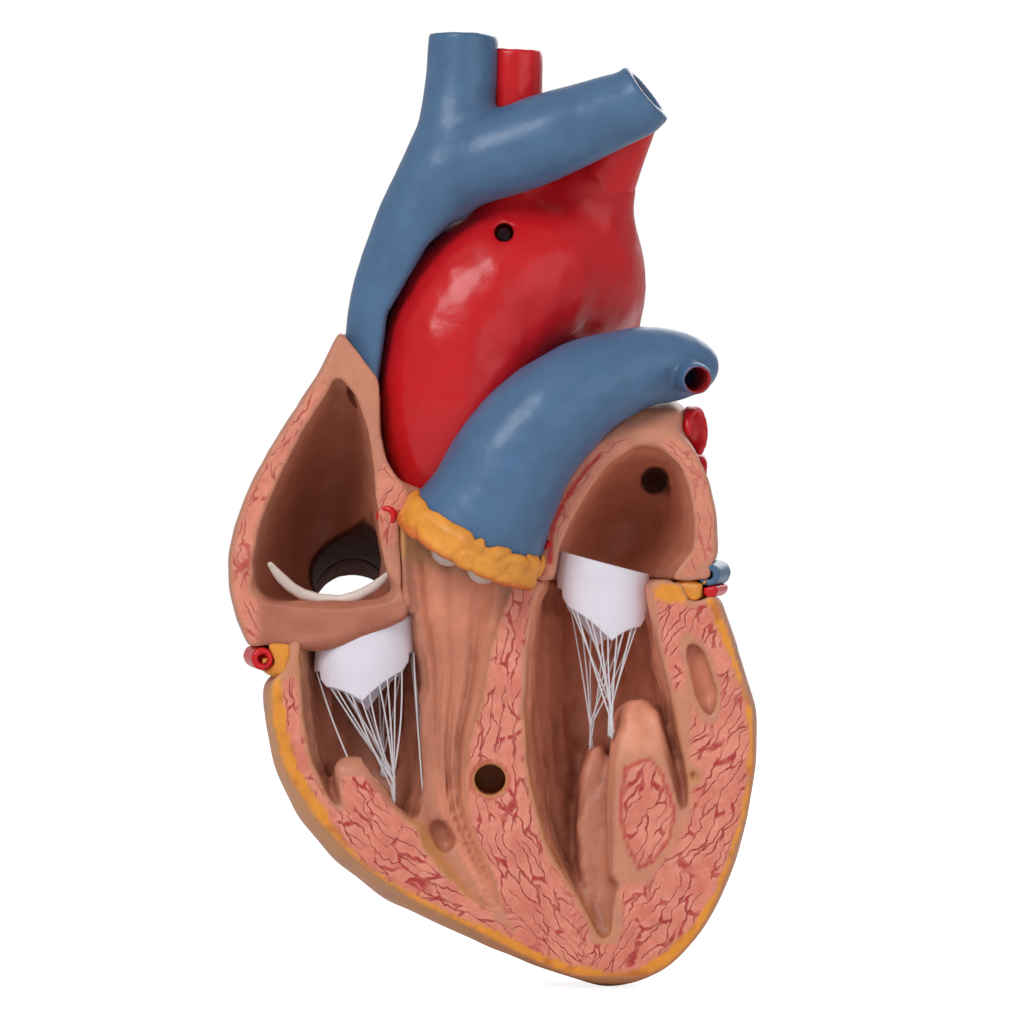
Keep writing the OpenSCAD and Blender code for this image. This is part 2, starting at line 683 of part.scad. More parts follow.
module right_pulmonary_artery() {
    color("#4f77a0") one_skin() difference() {
        right_lung_artery_form();
        trunk_form();
        aorta_form();
        left_atrium_form();
        right_atrium_form();
        upper_vein_form();
    }
}

module pulmonary_collar() {
    color("#e0a030") one_skin() difference() {
        collar_form();
        trunk_form();
        across_mouth(trunk_r * trunk_path[0][3] - vessel_wall, -far / 10, trunk_mouth_depth, 16);
        conus_form();
        translate([0, 0, collar_clear]) ventricle_block();
        right_coronary_origin_form();
        aorta_form();
        right_atrium_form();
        left_atrium_form();
        behind(6 * grow[1]);
    }
}

// The collar ends this far above the left joint
collar_clear = 0.3;
module collar_form() {
    c = place(trunk_path[0]);
    up = trunk_up();
    r = trunk_r * trunk_path[0][3] + collar_t;
    wave = 0.4;
    skin([for (s = [[-1.2, -0.8], [-0.5, 0], [2, 0.1], [4.6, -0.5], [7, -1.6]])
        ring_at(c + s[0] * up, up, r + s[1] + wave * cos(s[0] * 70), 16, [0, 1, 0])]);
}

// Two whole cusps hang in the trunk's mouth; the third one belongs to the front section
cusp_places = [-3.6, 4.4];
cusp_size = [3.7, 3, 3.5];
cusp_drop = 2;
module pulmonary_cusps() {
    c = place(trunk_path[0]);
    up = trunk_up();
    side = unit(cross([0, 1, 0], up));
    tilt = atan2(up[0], up[2]);
    color("#efece6") one_skin() difference() {
        for (along = cusp_places)
            translate(c + along * side - cusp_drop * up) rotate([0, tilt, 0]) scale(cusp_size) sphere(1, $fn = 12);
        pulmonary_trunk();
        conus_wall();
        pulmonary_collar();
    }
}

module conus_wall() {
    difference() {
        conus_form();
        outflow_trough();
    }
}

// ---- Lung veins ----

left_upper_vein = [[31, 15, 68, 1.1], [37, 12.4, 69.8, 1.14], [42.6, 10, 69.8, 1.1]];
left_lower_vein = [[33, 22, 60, 0.9], [39, 22.6, 61, 0.9], [44.6, 22.8, 61.4, 0.88]];
right_upper_vein = [[-2, 36, 61.4, 0.94], [-11, 42.6, 62.6, 0.94], [-19, 46, 63.4, 0.9]];
right_lower_vein = [[-2, 36, 53, 0.94], [-11, 42.6, 51.6, 0.94], [-19, 46, 50.6, 0.9]];

module left_upper_lung_vein() {
    color("#c81e24") one_skin() difference() {
        lung_vein(left_upper_vein);
        left_atrium_form();
        trunk_form();
    }
}
module left_lower_lung_vein() {
    color("#c81e24") one_skin() difference() {
        lung_vein(left_lower_vein);
        left_atrium_form();
    }
}
module right_upper_lung_vein() {
    color("#c81e24") one_skin() difference() {
        lung_vein(right_upper_vein);
        left_atrium_form();
        right_atrium_form();
    }
}
module right_lower_lung_vein() {
    color("#c81e24") one_skin() difference() {
        lung_vein(right_lower_vein);
        left_atrium_form();
        right_atrium_form();
        right_upper_lung_vein();
    }
}

// ---- Heart muscle vessels and fat ----

module right_coronary_artery() {
    color("#c81e24") one_skin() difference() {
        right_coronary_form();
        right_atrium_form();
    }
}

module right_coronary_origin_form() {
    vessel([[-20.9, 0, 52.6, 1], [-19, 5, 54, 0.8], [-15, 10, 56, 0.6]], right_coronary_r, 1, 8, [0, 0, 1], true, false);
}
module right_coronary_origin() {
    color("#c81e24") one_skin() difference() {
        right_coronary_origin_form();
        aorta_form();
        conus_form();
    }
}

module left_coronary_origin_form() {
    vessel([[11.9, 0, 46.6, 1], [11.6, 4, 47.2, 0.9], [11.4, 8, 48, 0.8]], left_coronary_r, 1, 8, [0, 0, 1], true, false);
}
module left_coronary_origin() {
    color("#c81e24") one_skin() difference() {
        left_coronary_origin_form();
        aorta_form();
        pulmonary_trunk();
        pulmonary_collar();
    }
}

module circumflex_artery() {
    color("#c81e24") one_skin() difference() {
        circumflex_form();
        left_atrium_form();
        sinus_form();
    }
}

module coronary_sinus() {
    color("#4f77a0") one_skin() difference() {
        sinus_form();
        right_atrium_form();
        right_coronary_form();
    }
}

module rear_descending_artery() {
    color("#c81e24") one_skin() difference() {
        rear_vessel(-1.6, left_coronary_r);
        ventricle_form();
        right_coronary_form();
        sinus_form();
    }
}

module middle_cardiac_vein() {
    color("#4f77a0") one_skin() difference() {
        rear_vessel(2.2, left_coronary_r);
        rear_vessel(-1.6, left_coronary_r);
        ventricle_form();
        right_coronary_form();
        sinus_form();
    }
}

module right_groove_fat() {
    color("#e0a030") one_skin() difference() {
        groove_fat(right_groove);
        right_atrium_form();
        right_coronary_form();
        sinus_form();
        rear_vessel(-1.6, left_coronary_r);
        rear_vessel(2.2, left_coronary_r);
    }
}

module left_groove_fat() {
    color("#e0a030") one_skin() difference() {
        groove_fat(left_groove);
        right_atrium_form();
        left_atrium_form();
        sinus_form();
        circumflex_form();
        right_coronary_form();
        groove_fat(right_groove);
        rear_vessel(-1.6, left_coronary_r);
        rear_vessel(2.2, left_coronary_r);
    }
}

// The valve of the lower great vein, a white lip across the right atrium's floor
module lower_vein_valve() {
    path = [[-44.4, 4, 43.4, 0.4], [-42, 4.4, 40.4, 0.9], [-37.6, 5, 37, 1], [-30, 5.6, 35.8, 1], [-23.6, 5, 38.4, 0.9],
            [-20.4, 4, 41.4, 0.4]];
    color("#efece6") one_skin() difference() {
        vessel(path, 1, 2, 6);
        right_atrium_casting();
    }
}

// ---- Foil cuffs with their flaps ----

// A cuff is [centre x, centre y, half width, half depth, top at its left, top at its right]
cuff_seat = 0.1;
tricuspid = [-25.2, 8.2, 10, 7.2, right_joint(-35.2) - cuff_seat, right_joint(-15.2) - cuff_seat];
mitral = [22.8, 8.6, 9.2, 7.6, 45.8, 41];
cuff_steps = 24;

// Where a cuff's foil runs at angle a, and how high its top edge is there
function cuff_xy(c, a, out) = [c[0] * grow[0] + (c[2] * grow[0] + out) * cos(a), c[1] * grow[1] + (c[3] * grow[1] + out) * sin(a)];
function cuff_top(c, a) = (c[4] + (c[5] - c[4]) * (1 + cos(a)) / 2) * grow[2];

// A strip of foil between two edges, from angle a0 to a1; each edge is a function of the angle
module foil_strip(c, a0, a1, n, top, bottom) {
    skin([for (i = [0:n]) let (a = a0 + (a1 - a0) * i / n, i0 = cuff_xy(c, a, -foil_t / 2), i1 = cuff_xy(c, a, foil_t / 2))
        [[i0[0], i0[1], top[i]], [i1[0], i1[1], top[i]], [i1[0], i1[1], bottom[i]], [i0[0], i0[1], bottom[i]]]]);
}

// A cuff's band goes all the way round, so it is made as two strips that meet
module cuff_band(c) {
    n = cuff_steps / 2;
    for (half = [0, 1]) {
        a = [for (i = [0:n]) half * 180 + 180 * i / n];
        foil_strip(c, half * 180, half * 180 + 180, n, [for (t = a) cuff_top(c, t)],
                   [for (t = a) cuff_top(c, t) - cuff_band_h]);
    }
}

// A flap hangs below its band and comes to a point; a0 and a1 are where it starts and ends
flap_n = 10;
flap_corner = 0.14;
function flap_low(s, h) = crease_gap + h * (flap_corner + (1 - flap_corner) * pow(sin(180 * s), 2.2));
module cuff_flap(c, a0, a1, h) {
    a = [for (i = [0:flap_n]) a0 + (a1 - a0) * i / flap_n];
    foil_strip(c, a0, a1, flap_n, [for (t = a) cuff_top(c, t) - cuff_band_h - crease_gap],
               [for (i = [0:flap_n]) cuff_top(c, a[i]) - cuff_band_h - flap_low(i / flap_n, h)]);
}

front_flap = [205, 335];
rear_flap = [30, 150];

module cuff_paint() color("#f2f2f4") children();

module tricuspid_cuff() {
    cuff_paint() one_skin() difference() {
        cuff_band(tricuspid);
        ventricle_walls();
    }
}
module mitral_cuff() {
    cuff_paint() one_skin() difference() {
        cuff_band(mitral);
        ventricle_walls();
        left_atrium_walls();
    }
}
module tricuspid_front_flap() cuff_paint() cuff_flap(tricuspid, front_flap[0], front_flap[1], front_flap_h);
module tricuspid_rear_flap() cuff_paint() cuff_flap(tricuspid, rear_flap[0], rear_flap[1], rear_flap_h);
module mitral_front_flap() cuff_paint() cuff_flap(mitral, front_flap[0], front_flap[1], front_flap_h);
module mitral_rear_flap() cuff_paint() cuff_flap(mitral, rear_flap[0], rear_flap[1], rear_flap_h);

// The castings' walls, without their bores
module ventricle_walls() {
    difference() {
        union() {
            ventricle_form();
            conus_form();
        }
        right_ventricle_chamber();
        left_ventricle_chamber();
        outflow_trough();
    }
}
module left_atrium_walls() {
    difference() {
        left_atrium_form();
        left_atrium_chamber();
    }
}

// ---- Threads ----

// A thread runs from a flap's lower edge to the place where its bundle is glued to the muscle
function flap_edge(c, span, h, s) =
    let (a = span[0] + (span[1] - span[0]) * s, p = cuff_xy(c, a, 0))
    [p[0], p[1], cuff_top(c, a) - cuff_band_h - flap_low(s, h) - thread_gap];

// How far a thread bows out between its ends. At its foot a bundle is two rows of threads, glued in a bead
thread_bow = 0.8;
thread_rows_gap = 0.7;
bead_h = 1.8;
module thread_bundle(c, span, h, count, foot, spread) {
    for (i = [0:count - 1]) {
        s = 0.1 + 0.8 * i / (count - 1);
        top = flap_edge(c, span, h, s);
        low = at(foot) + [spread * (s - 0.5) / 0.8, (i % 2 - 0.5) * thread_rows_gap, 0];
        thread(top, low, thread_bow * sign(spread) * (s - 0.5) * 2);
    }
    translate(at(foot)) scale([abs(spread) / 2 + thread_d, thread_rows_gap / 2 + thread_d, bead_h]) sphere(1, $fn = 8);
}

module thread(top, low, bow) {
    p = [top, (top + low) / 2 + [bow, 0, 0], low];
    skin([for (k = [0:2]) ring_at(p[k], unit(p[min(k + 1, 2)] - p[max(k - 1, 0)]), thread_d / 2, 4, [0, 1, 0])]);
}

module threads(c, span, h, count, foot, spread) {
    color("#f2f2f4") one_skin() difference() {
        thread_bundle(c, span, h, count, foot, spread);
        ventricle_walls();
    }
}
module tricuspid_front_threads() threads(tricuspid, front_flap, front_flap_h, 10, [-19.4, 5.4, -4.3], 2.4);
module tricuspid_rear_threads() threads(tricuspid, rear_flap, rear_flap_h, 8, [-21.7, 16.5, -0.2], -2.2);

// Threads at the ends of the front flap: one to the papillary muscle's tip, four down the septum's wall
module tricuspid_side_threads() {
    color("#f2f2f4") one_skin() difference() {
        union() {
            thread(side_thread_top(188), at([-28.2, 4, 3.4]), 0);
            for (i = [0:3]) thread(side_thread_top(-8 + i * 11), at([-13.4, 5 + i * 1.4, -4]), 0.3);
        }
        ventricle_walls();
    }
}
function side_thread_top(a) =
    let (p = cuff_xy(tricuspid, a, 0)) [p[0], p[1], cuff_top(tricuspid, a) - cuff_band_h - thread_gap];
module mitral_front_threads() threads(mitral, front_flap, front_flap_h, 10, [24.2, 1.9, 9.6], 2.4);
module mitral_rear_threads() threads(mitral, rear_flap, rear_flap_h, 8, [20.5, 14.2, 6.4], -2.2);

// ---- The part ----

translate(-socket_mouth) {
    ventricle_base();
    ventricle_septum();
    right_ventricle_wall();
    left_ventricle_wall();
    ventricle_apex();
    right_atrium_casting();
    left_atrium_casting();
    aorta();
    brachiocephalic_artery();
    left_carotid_artery();
    left_subclavian_artery();
    upper_great_vein();
    lower_great_vein();
    pulmonary_trunk();
    right_pulmonary_artery();
    pulmonary_collar();
    pulmonary_cusps();
    left_upper_lung_vein();
    left_lower_lung_vein();
    right_upper_lung_vein();
    right_lower_lung_vein();
    right_coronary_artery();
    right_coronary_origin();
    left_coronary_origin();
    circumflex_artery();
    coronary_sinus();
    rear_descending_artery();
    middle_cardiac_vein();
    right_groove_fat();
    left_groove_fat();
    lower_vein_valve();
    tricuspid_cuff();
    tricuspid_front_flap();
    tricuspid_rear_flap();
    mitral_cuff();
    mitral_front_flap();
    mitral_rear_flap();
    tricuspid_front_threads();
    tricuspid_rear_threads();
    tricuspid_side_threads();
    mitral_front_threads();
    mitral_rear_threads();
}
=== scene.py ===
import math

import bpy
import numpy as np
import openvdb as vdb
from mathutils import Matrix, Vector


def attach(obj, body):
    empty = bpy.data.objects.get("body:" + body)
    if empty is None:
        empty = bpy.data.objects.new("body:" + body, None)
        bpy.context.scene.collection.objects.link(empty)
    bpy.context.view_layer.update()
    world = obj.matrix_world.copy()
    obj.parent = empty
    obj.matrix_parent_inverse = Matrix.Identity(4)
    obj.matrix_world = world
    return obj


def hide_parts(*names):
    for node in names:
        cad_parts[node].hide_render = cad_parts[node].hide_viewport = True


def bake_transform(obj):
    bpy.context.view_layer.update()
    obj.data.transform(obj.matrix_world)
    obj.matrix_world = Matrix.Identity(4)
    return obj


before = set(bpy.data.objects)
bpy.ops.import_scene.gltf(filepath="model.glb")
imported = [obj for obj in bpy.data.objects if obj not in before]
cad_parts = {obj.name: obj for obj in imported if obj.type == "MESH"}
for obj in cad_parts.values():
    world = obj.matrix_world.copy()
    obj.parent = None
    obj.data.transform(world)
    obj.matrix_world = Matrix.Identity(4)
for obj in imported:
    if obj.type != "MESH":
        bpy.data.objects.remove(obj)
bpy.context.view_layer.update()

OFF = np.array([14.0, 22.0, -39.0])   # the work point in the septum's hole, in mm, seen from the row's origin
MM = 0.001
STEP = 0.6                            # grid step of the cast pieces, mm
PEG_R, PEG_DEEP = 3.1, 16             # the septum's peg hole, mm
AORTA_PEG_R, AORTA_PEG_Z = 1.9, 109.6   # the peg hole in the arch, mm
SOCKET_DEEP = 20                      # the stand's socket, mm
SEAM = 0.2                            # growth that closes the seams to the ventricles, mm
ATRIA_BACK = 0.03                     # how far the atria's faces lie behind the ventricles' face, mm


# ------------ noise and lines

_lattice = np.random.default_rng(7).random((64, 64, 64)).astype(np.float32)


def noise(p, size, seed=0):
    """Smooth value noise from -1 to 1 at points p (n, 3) in mm. size is one number or three."""
    q = p / np.asarray(size, np.float32) + seed * 17.37
    i = np.floor(q).astype(np.int64)
    f = (q - i).astype(np.float32)
    f = f * f * f * (f * (f * 6 - 15) + 10)
    i &= 63
    j = (i + 1) & 63
    out = np.zeros(len(p), np.float32)
    for cx, wx in ((i[:, 0], 1 - f[:, 0]), (j[:, 0], f[:, 0])):
        for cy, wy in ((i[:, 1], 1 - f[:, 1]), (j[:, 1], f[:, 1])):
            for cz, wz in ((i[:, 2], 1 - f[:, 2]), (j[:, 2], f[:, 2])):
                out += _lattice[cx, cy, cz] * wx * wy * wz
    return out * 2 - 1


def smooth(a, b, x):
    """0 below a, 1 above b, smooth between. Also for a above b."""
    t = np.clip((x - a) / (b - a), 0, 1)
    return t * t * (3 - 2 * t)


def along(line, p):
    """Distance from points p (n, 2) to a polyline, signed by side, and the length along it at the nearest point."""
    line = np.asarray(line, np.float32)
    best = np.full(len(p), 1e9, np.float32)
    side = np.zeros(len(p), np.float32)
    run = np.zeros(len(p), np.float32)
    start = 0.0
    for a, b in zip(line[:-1], line[1:]):
        d = b - a
        n = float(np.hypot(*d))
        t = np.clip(((p - a) @ d) / (n * n), 0, 1)
        off = p - (a + t[:, None] * d)
        dist = np.hypot(off[:, 0], off[:, 1])
        near = dist < best
        best[near] = dist[near]
        side[near] = np.sign(d[0] * off[near, 1] - d[1] * off[near, 0])
        run[near] = start + t[near] * n
        start += n
    return best, side, run


def spline(path, step=1.2):
    """Points along a smooth curve through the path's rows, with any further columns carried along."""
    rows = np.asarray(path, float)
    ends = np.vstack([2 * rows[0] - rows[1], rows, 2 * rows[-1] - rows[-2]])
    out = []
    for k in range(1, len(ends) - 2):
        p0, p1, p2, p3 = ends[k - 1:k + 3]
        n = max(2, int(np.linalg.norm((p2 - p1)[:3]) / step))
        for t in np.arange(n) / n:
            out.append(0.5 * (2 * p1 + (p2 - p0) * t + (2 * p0 - 5 * p1 + 4 * p2 - p3) * t * t
                              + (3 * p1 - p0 - 3 * p2 + p3) * t ** 3))
    out.append(rows[-1])
    return np.array(out)


# ------------ fields

class Field:
    """Signed distances in mm on a regular grid. Negative is inside."""

    def __init__(self, lo, hi, h=STEP, far=4.0):
        self.h, self.far = h, far
        self.i0 = np.floor(np.asarray(lo) / h).astype(int) - 3
        n = np.ceil(np.asarray(hi) / h).astype(int) + 4 - self.i0
        self.a = np.full(n, far, np.float32)
        self.shift = np.array([0, h / 2, 0])     # the mating face falls between two grid layers

    def line(self, axis):
        v = (np.arange(self.a.shape[axis]) + self.i0[axis]) * self.h + self.shift[axis]
        return v.astype(np.float32).reshape([-1 if k == axis else 1 for k in range(3)])

    def xyz(self):
        return self.line(0), self.line(1), self.line(2)

    def from_mesh(self, co, tris):
        grid = vdb.FloatGrid.createLevelSetFromPolygons(
            (co - self.shift).astype(np.float32), triangles=tris.astype(np.uint32),
            transform=vdb.createLinearTransform(voxelSize=self.h), halfWidth=self.far / self.h)
        grid.copyToArray(self.a, ijk=tuple(int(v) for v in self.i0))
        return self

    def blur(self, sigma):
        s = sigma / self.h
        r = int(math.ceil(2.6 * s))
        w = np.exp(-0.5 * (np.arange(-r, r + 1) / s) ** 2)
        w = (w / w.sum()).astype(np.float32)
        for axis in range(3):
            a = np.moveaxis(self.a, axis, 0)
            padded = np.concatenate([np.repeat(a[:1], r, 0), a, np.repeat(a[-1:], r, 0)])
            out = np.zeros_like(a)
            for k, wk in enumerate(w):
                out += padded[k:k + len(a)] * wk
            self.a = np.moveaxis(out, 0, axis)
        self.a = np.ascontiguousarray(self.a)
        return self

    def _near(self, lo, hi):
        """The part of the grid between two points, as a slice."""
        lo = np.floor((np.asarray(lo) - self.shift) / self.h).astype(int) - self.i0
        hi = np.ceil((np.asarray(hi) - self.shift) / self.h).astype(int) + 1 - self.i0
        return tuple(slice(max(0, a), max(0, b)) for a, b in zip(lo, hi))

    def tube_field(self, rows, reach=None):
        """Distances to a chain of round cones through rows of x, y, z, radius."""
        out = np.full(self.a.shape, self.far, np.float32)
        x, y, z = self.xyz()
        reach = self.far if reach is None else reach
        for p, q in zip(rows[:-1], rows[1:]):
            r = max(p[3], q[3]) + reach
            s = self._near(np.minimum(p, q)[:3] - r, np.maximum(p, q)[:3] + r)
            gx, gy, gz = x[s[0]], y[:, s[1]], z[:, :, s[2]]
            if 0 in (gx.size, gy.size, gz.size):
                continue
            d = q[:3] - p[:3]
            n = max(float(d @ d), 1e-9)
            t = np.clip(((gx - p[0]) * d[0] + (gy - p[1]) * d[1] + (gz - p[2]) * d[2]) / n, 0, 1)
            dist = np.sqrt((gx - p[0] - t * d[0]) ** 2 + (gy - p[1] - t * d[1]) ** 2
                           + (gz - p[2] - t * d[2]) ** 2) - (p[3] + t * (q[3] - p[3]))
            np.minimum(out[s], dist, out=out[s])
        return out

    def plane_field(self, point, normal):
        """Distances to a half-space. The normal points out of it."""
        n = np.asarray(normal, float)
        n = n / np.linalg.norm(n)
        x, y, z = self.xyz()
        return ((x - point[0]) * n[0] + (y - point[1]) * n[1] + (z - point[2]) * n[2]).astype(np.float32)

    def add(self, other, soft=0.0):
        if soft:
            k = np.clip(0.5 + 0.5 * (other - self.a) / soft, 0, 1)
            self.a = (other * (1 - k) + self.a * k - soft * k * (1 - k)).astype(np.float32)
        else:
            np.minimum(self.a, other, out=self.a)
        return self

    def cut(self, other, soft=0.0):
        if soft:
            k = np.clip(0.5 - 0.5 * (self.a + other) / soft, 0, 1)
            self.a = (self.a * (1 - k) - other * k + soft * k * (1 - k)).astype(np.float32)
        else:
            np.maximum(self.a, -other, out=self.a)
        return self

    def keep(self, other):
        np.maximum(self.a, other, out=self.a)
        return self

    def carve(self, change, reach=2.5):
        """Adds change(points) to the field near its surface. Positive digs in, negative builds up."""
        near = np.abs(self.a) < reach
        i = np.argwhere(near)
        p = ((i + self.i0) * self.h + self.shift).astype(np.float32)
        self.a[near] += change(p).astype(np.float32)
        return self

    def at(self, p, a=None):
        """The field at points p, between grid points."""
        a = self.a if a is None else a
        q = (p - self.shift) / self.h - self.i0
        q = np.clip(q, 0, np.array(a.shape) - 1.001)
        i = np.floor(q).astype(int)
        f = q - i
        out = np.zeros(len(p), np.float32)
        for dx in (0, 1):
            for dy in (0, 1):
                for dz in (0, 1):
                    w = (np.where(dx, f[:, 0], 1 - f[:, 0]) * np.where(dy, f[:, 1], 1 - f[:, 1])
                         * np.where(dz, f[:, 2], 1 - f[:, 2]))
                    out += w * a[i[:, 0] + dx, i[:, 1] + dy, i[:, 2] + dz]
        return out

    def mesh(self):
        grid = vdb.FloatGrid(self.far)
        grid.transform = vdb.createLinearTransform(voxelSize=self.h)
        grid.copyFromArray(self.a, ijk=tuple(int(v) for v in self.i0))
        co, quads = grid.convertToQuads(0.0)
        return co + self.shift.astype(np.float32), quads[:, ::-1]


# ------------ pieces

def piece(name, co, faces, body="heart", node=None, material=None, attributes=None):
    """A mesh object from points in the work frame, in mm. It rides on a body and stands for its CAD node."""
    mesh = bpy.data.meshes.new(name)
    co = (np.asarray(co, np.float32) - OFF) * MM
    if isinstance(faces, np.ndarray):
        n, k = faces.shape
        mesh.vertices.add(len(co))
        mesh.vertices.foreach_set("co", co.astype(np.float32).ravel())
        mesh.loops.add(n * k)
        mesh.loops.foreach_set("vertex_index", faces.astype(np.int32).ravel())
        mesh.polygons.add(n)
        mesh.polygons.foreach_set("loop_start", np.arange(0, n * k, k, dtype=np.int32))
        mesh.update(calc_edges=True)
    else:
        mesh.from_pydata(co.tolist(), [], faces)
    mesh.validate()
    mesh.shade_smooth()
    for key, value in (attributes or {}).items():
        kind = "FLOAT" if value.ndim == 1 else "FLOAT_VECTOR"
        layer = mesh.attributes.new(key, kind, "POINT")
        layer.data.foreach_set("value" if value.ndim == 1 else "vector", value.astype(np.float32).ravel())
    obj = bpy.data.objects.new(name, mesh)
    bpy.context.scene.collection.objects.link(obj)
    if material:
        mesh.materials.append(material)
    if body:
        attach(obj, body)
    if node:
        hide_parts(*([node] if isinstance(node, str) else node))
    return obj


def cad_mesh(node):
    """Points in the work frame and triangles of a CAD node."""
    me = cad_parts[node].data
    me.calc_loop_triangles()
    co = np.zeros(len(me.vertices) * 3)
    me.vertices.foreach_get("co", co)
    tris = np.zeros(len(me.loop_triangles) * 3, np.int32)
    me.loop_triangles.foreach_get("vertices", tris)
    co = co.reshape(-1, 3) / MM + OFF
    key, index = np.unique(np.round(co, 4), axis=0, return_inverse=True)
    return key, index.ravel()[tris].reshape(-1, 3)


def pushed_front(co, tris, depth=4.0):
    """The mesh with its mating face moved forward by depth, with walls between, so that a blur leaves the
    face's outline as it is once the face is cut back to y 0."""
    flat = (np.abs(co[tris][:, :, 1]) < 0.02).all(1)
    front = tris[flat]
    used = np.unique(front)
    new = np.full(len(co), -1)
    new[used] = np.arange(len(used)) + len(co)
    moved = co[used].copy()
    moved[:, 1] -= depth
    edges = np.concatenate([front[:, [0, 1]], front[:, [1, 2]], front[:, [2, 0]]])
    keys = {tuple(e) for e in edges.tolist()}
    rim = np.array([e for e in edges.tolist() if (e[1], e[0]) not in keys])
    walls = np.concatenate([np.stack([rim[:, 0], rim[:, 1], new[rim[:, 1]]], 1),
                            np.stack([rim[:, 0], new[rim[:, 1]], new[rim[:, 0]]], 1)])
    return np.vstack([co, moved]), np.concatenate([tris[~flat], new[front], walls])


def casting(node, sigma, h=STEP, pushed=False):
    """The field of a CAD node, its edges rounded by a blur."""
    co, tris = cad_mesh(node)
    if pushed:
        co, tris = pushed_front(co, tris)
    return Field(co.min(0), co.max(0), h).from_mesh(co, tris).blur(sigma)


def front_cut(f, back=0.0):
    """Cuts a field flat along the mating face, or that far behind it."""
    return f.keep(f.plane_field((0, back, 0), (0, -1, 0)))


def on_face(co, n):
    """Which points lie on the flat mating face."""
    return (co[:, 1] < 0.12) & (n[:, 1] < -0.6)


def edge_distance(f, co, a=None):
    """How far inside a casting's outline points lie, measured a little behind the mating face."""
    return -f.at(np.c_[co[:, 0], np.full(len(co), 1.5), co[:, 2]], a)


def bore(f, start, end, r):
    """Cuts a straight round hole with flat ends, past its start."""
    start, end = np.asarray(start, float), np.asarray(end, float)
    d = (end - start) / np.linalg.norm(end - start)
    x, y, z = f.xyz()
    t = (x - start[0]) * d[0] + (y - start[1]) * d[1] + (z - start[2]) * d[2]
    away = np.sqrt(np.maximum((x - start[0]) ** 2 + (y - start[1]) ** 2 + (z - start[2]) ** 2 - t * t, 0))
    f.cut(np.maximum(away - r, t - np.linalg.norm(end - start)).astype(np.float32))


def pipe(f, path, r, wall=None, deep=3.0, soft=0.0):
    """Adds a smooth tube along a path of x, y, z, share of r. With a wall, its last end is flat and open."""
    rows = spline(path)
    rows[:, 3] *= r
    shell = f.tube_field(rows)
    if wall is None:
        f.add(shell, soft)
        return
    tip, back = rows[-1, :3], rows[-4, :3]
    n = (tip - back) / np.linalg.norm(tip - back)
    away = np.sqrt(sum((g - c) ** 2 for g, c in zip(f.xyz(), tip)))
    shell = np.maximum(shell, np.where(away < 1.9 * rows[-1, 3] + 4, f.plane_field(tip, n), -9).astype(np.float32))
    f.add(shell, soft)
    part = rows[::-1][:8]
    run = np.r_[0, np.cumsum(np.linalg.norm(np.diff(part[:, :3], axis=0), axis=1))]
    inner = part[run <= deep]
    if len(inner) < 2:
        inner = part[:2]
    out = inner[0].copy()
    out[:3] += (inner[0] - inner[1])[:3] * 3
    inner = np.vstack([out, inner])
    inner[:, 3] -= wall
    f.cut(f.tube_field(inner), 0.5)


def inside(poly, p):
    """Which of the points p (n, 2) are inside a closed polygon."""
    poly = np.asarray(poly, float)
    hit = np.zeros(len(p), bool)
    for a, b in zip(poly, np.roll(poly, -1, 0)):
        if a[1] == b[1]:
            continue
        crosses = (a[1] > p[:, 1]) != (b[1] > p[:, 1])
        hit ^= crosses & (p[:, 0] < (b[0] - a[0]) * (p[:, 1] - a[1]) / (b[1] - a[1]) + a[0])
    return hit


def px(*points):
    """Points given in the photograph's frame, as x and z in mm."""
    return np.array([((u - 490) / 5, (780 - v) / 5) for u, v in points])


def within(poly, p, edge=1.0):
    """About 1 inside a closed polygon and 0 outside it, smooth over edge mm on both sides."""
    d = along(np.vstack([poly, poly[:1]]), p)[0]
    return smooth(-edge, edge, np.where(inside(poly, p), d, -d))


def near(f, co):
    """The slope of a field at points: the unit normals."""
    e = f.h * 0.7
    g = np.stack([f.at(co + d) - f.at(co - d) for d in np.eye(3) * e], 1)
    return g / np.maximum(np.linalg.norm(g, axis=1, keepdims=True), 1e-6)


def hollowness(f, co, n, reach=1.6):
    """How far points lie in a groove, from -1 on a ridge to 1 in a crease."""
    return np.clip((reach - f.at(co + n * reach)) / reach, -1, 1)


def blend3(a, b, w):
    """From colour a to colour b by w. Each is one colour, or one for every point."""
    return np.asarray(a) * (1 - w[:, None]) + np.asarray(b) * w[:, None]


# ------------ materials

def new_node(tree, kind):
    return tree.nodes.new("ShaderNode" + kind)


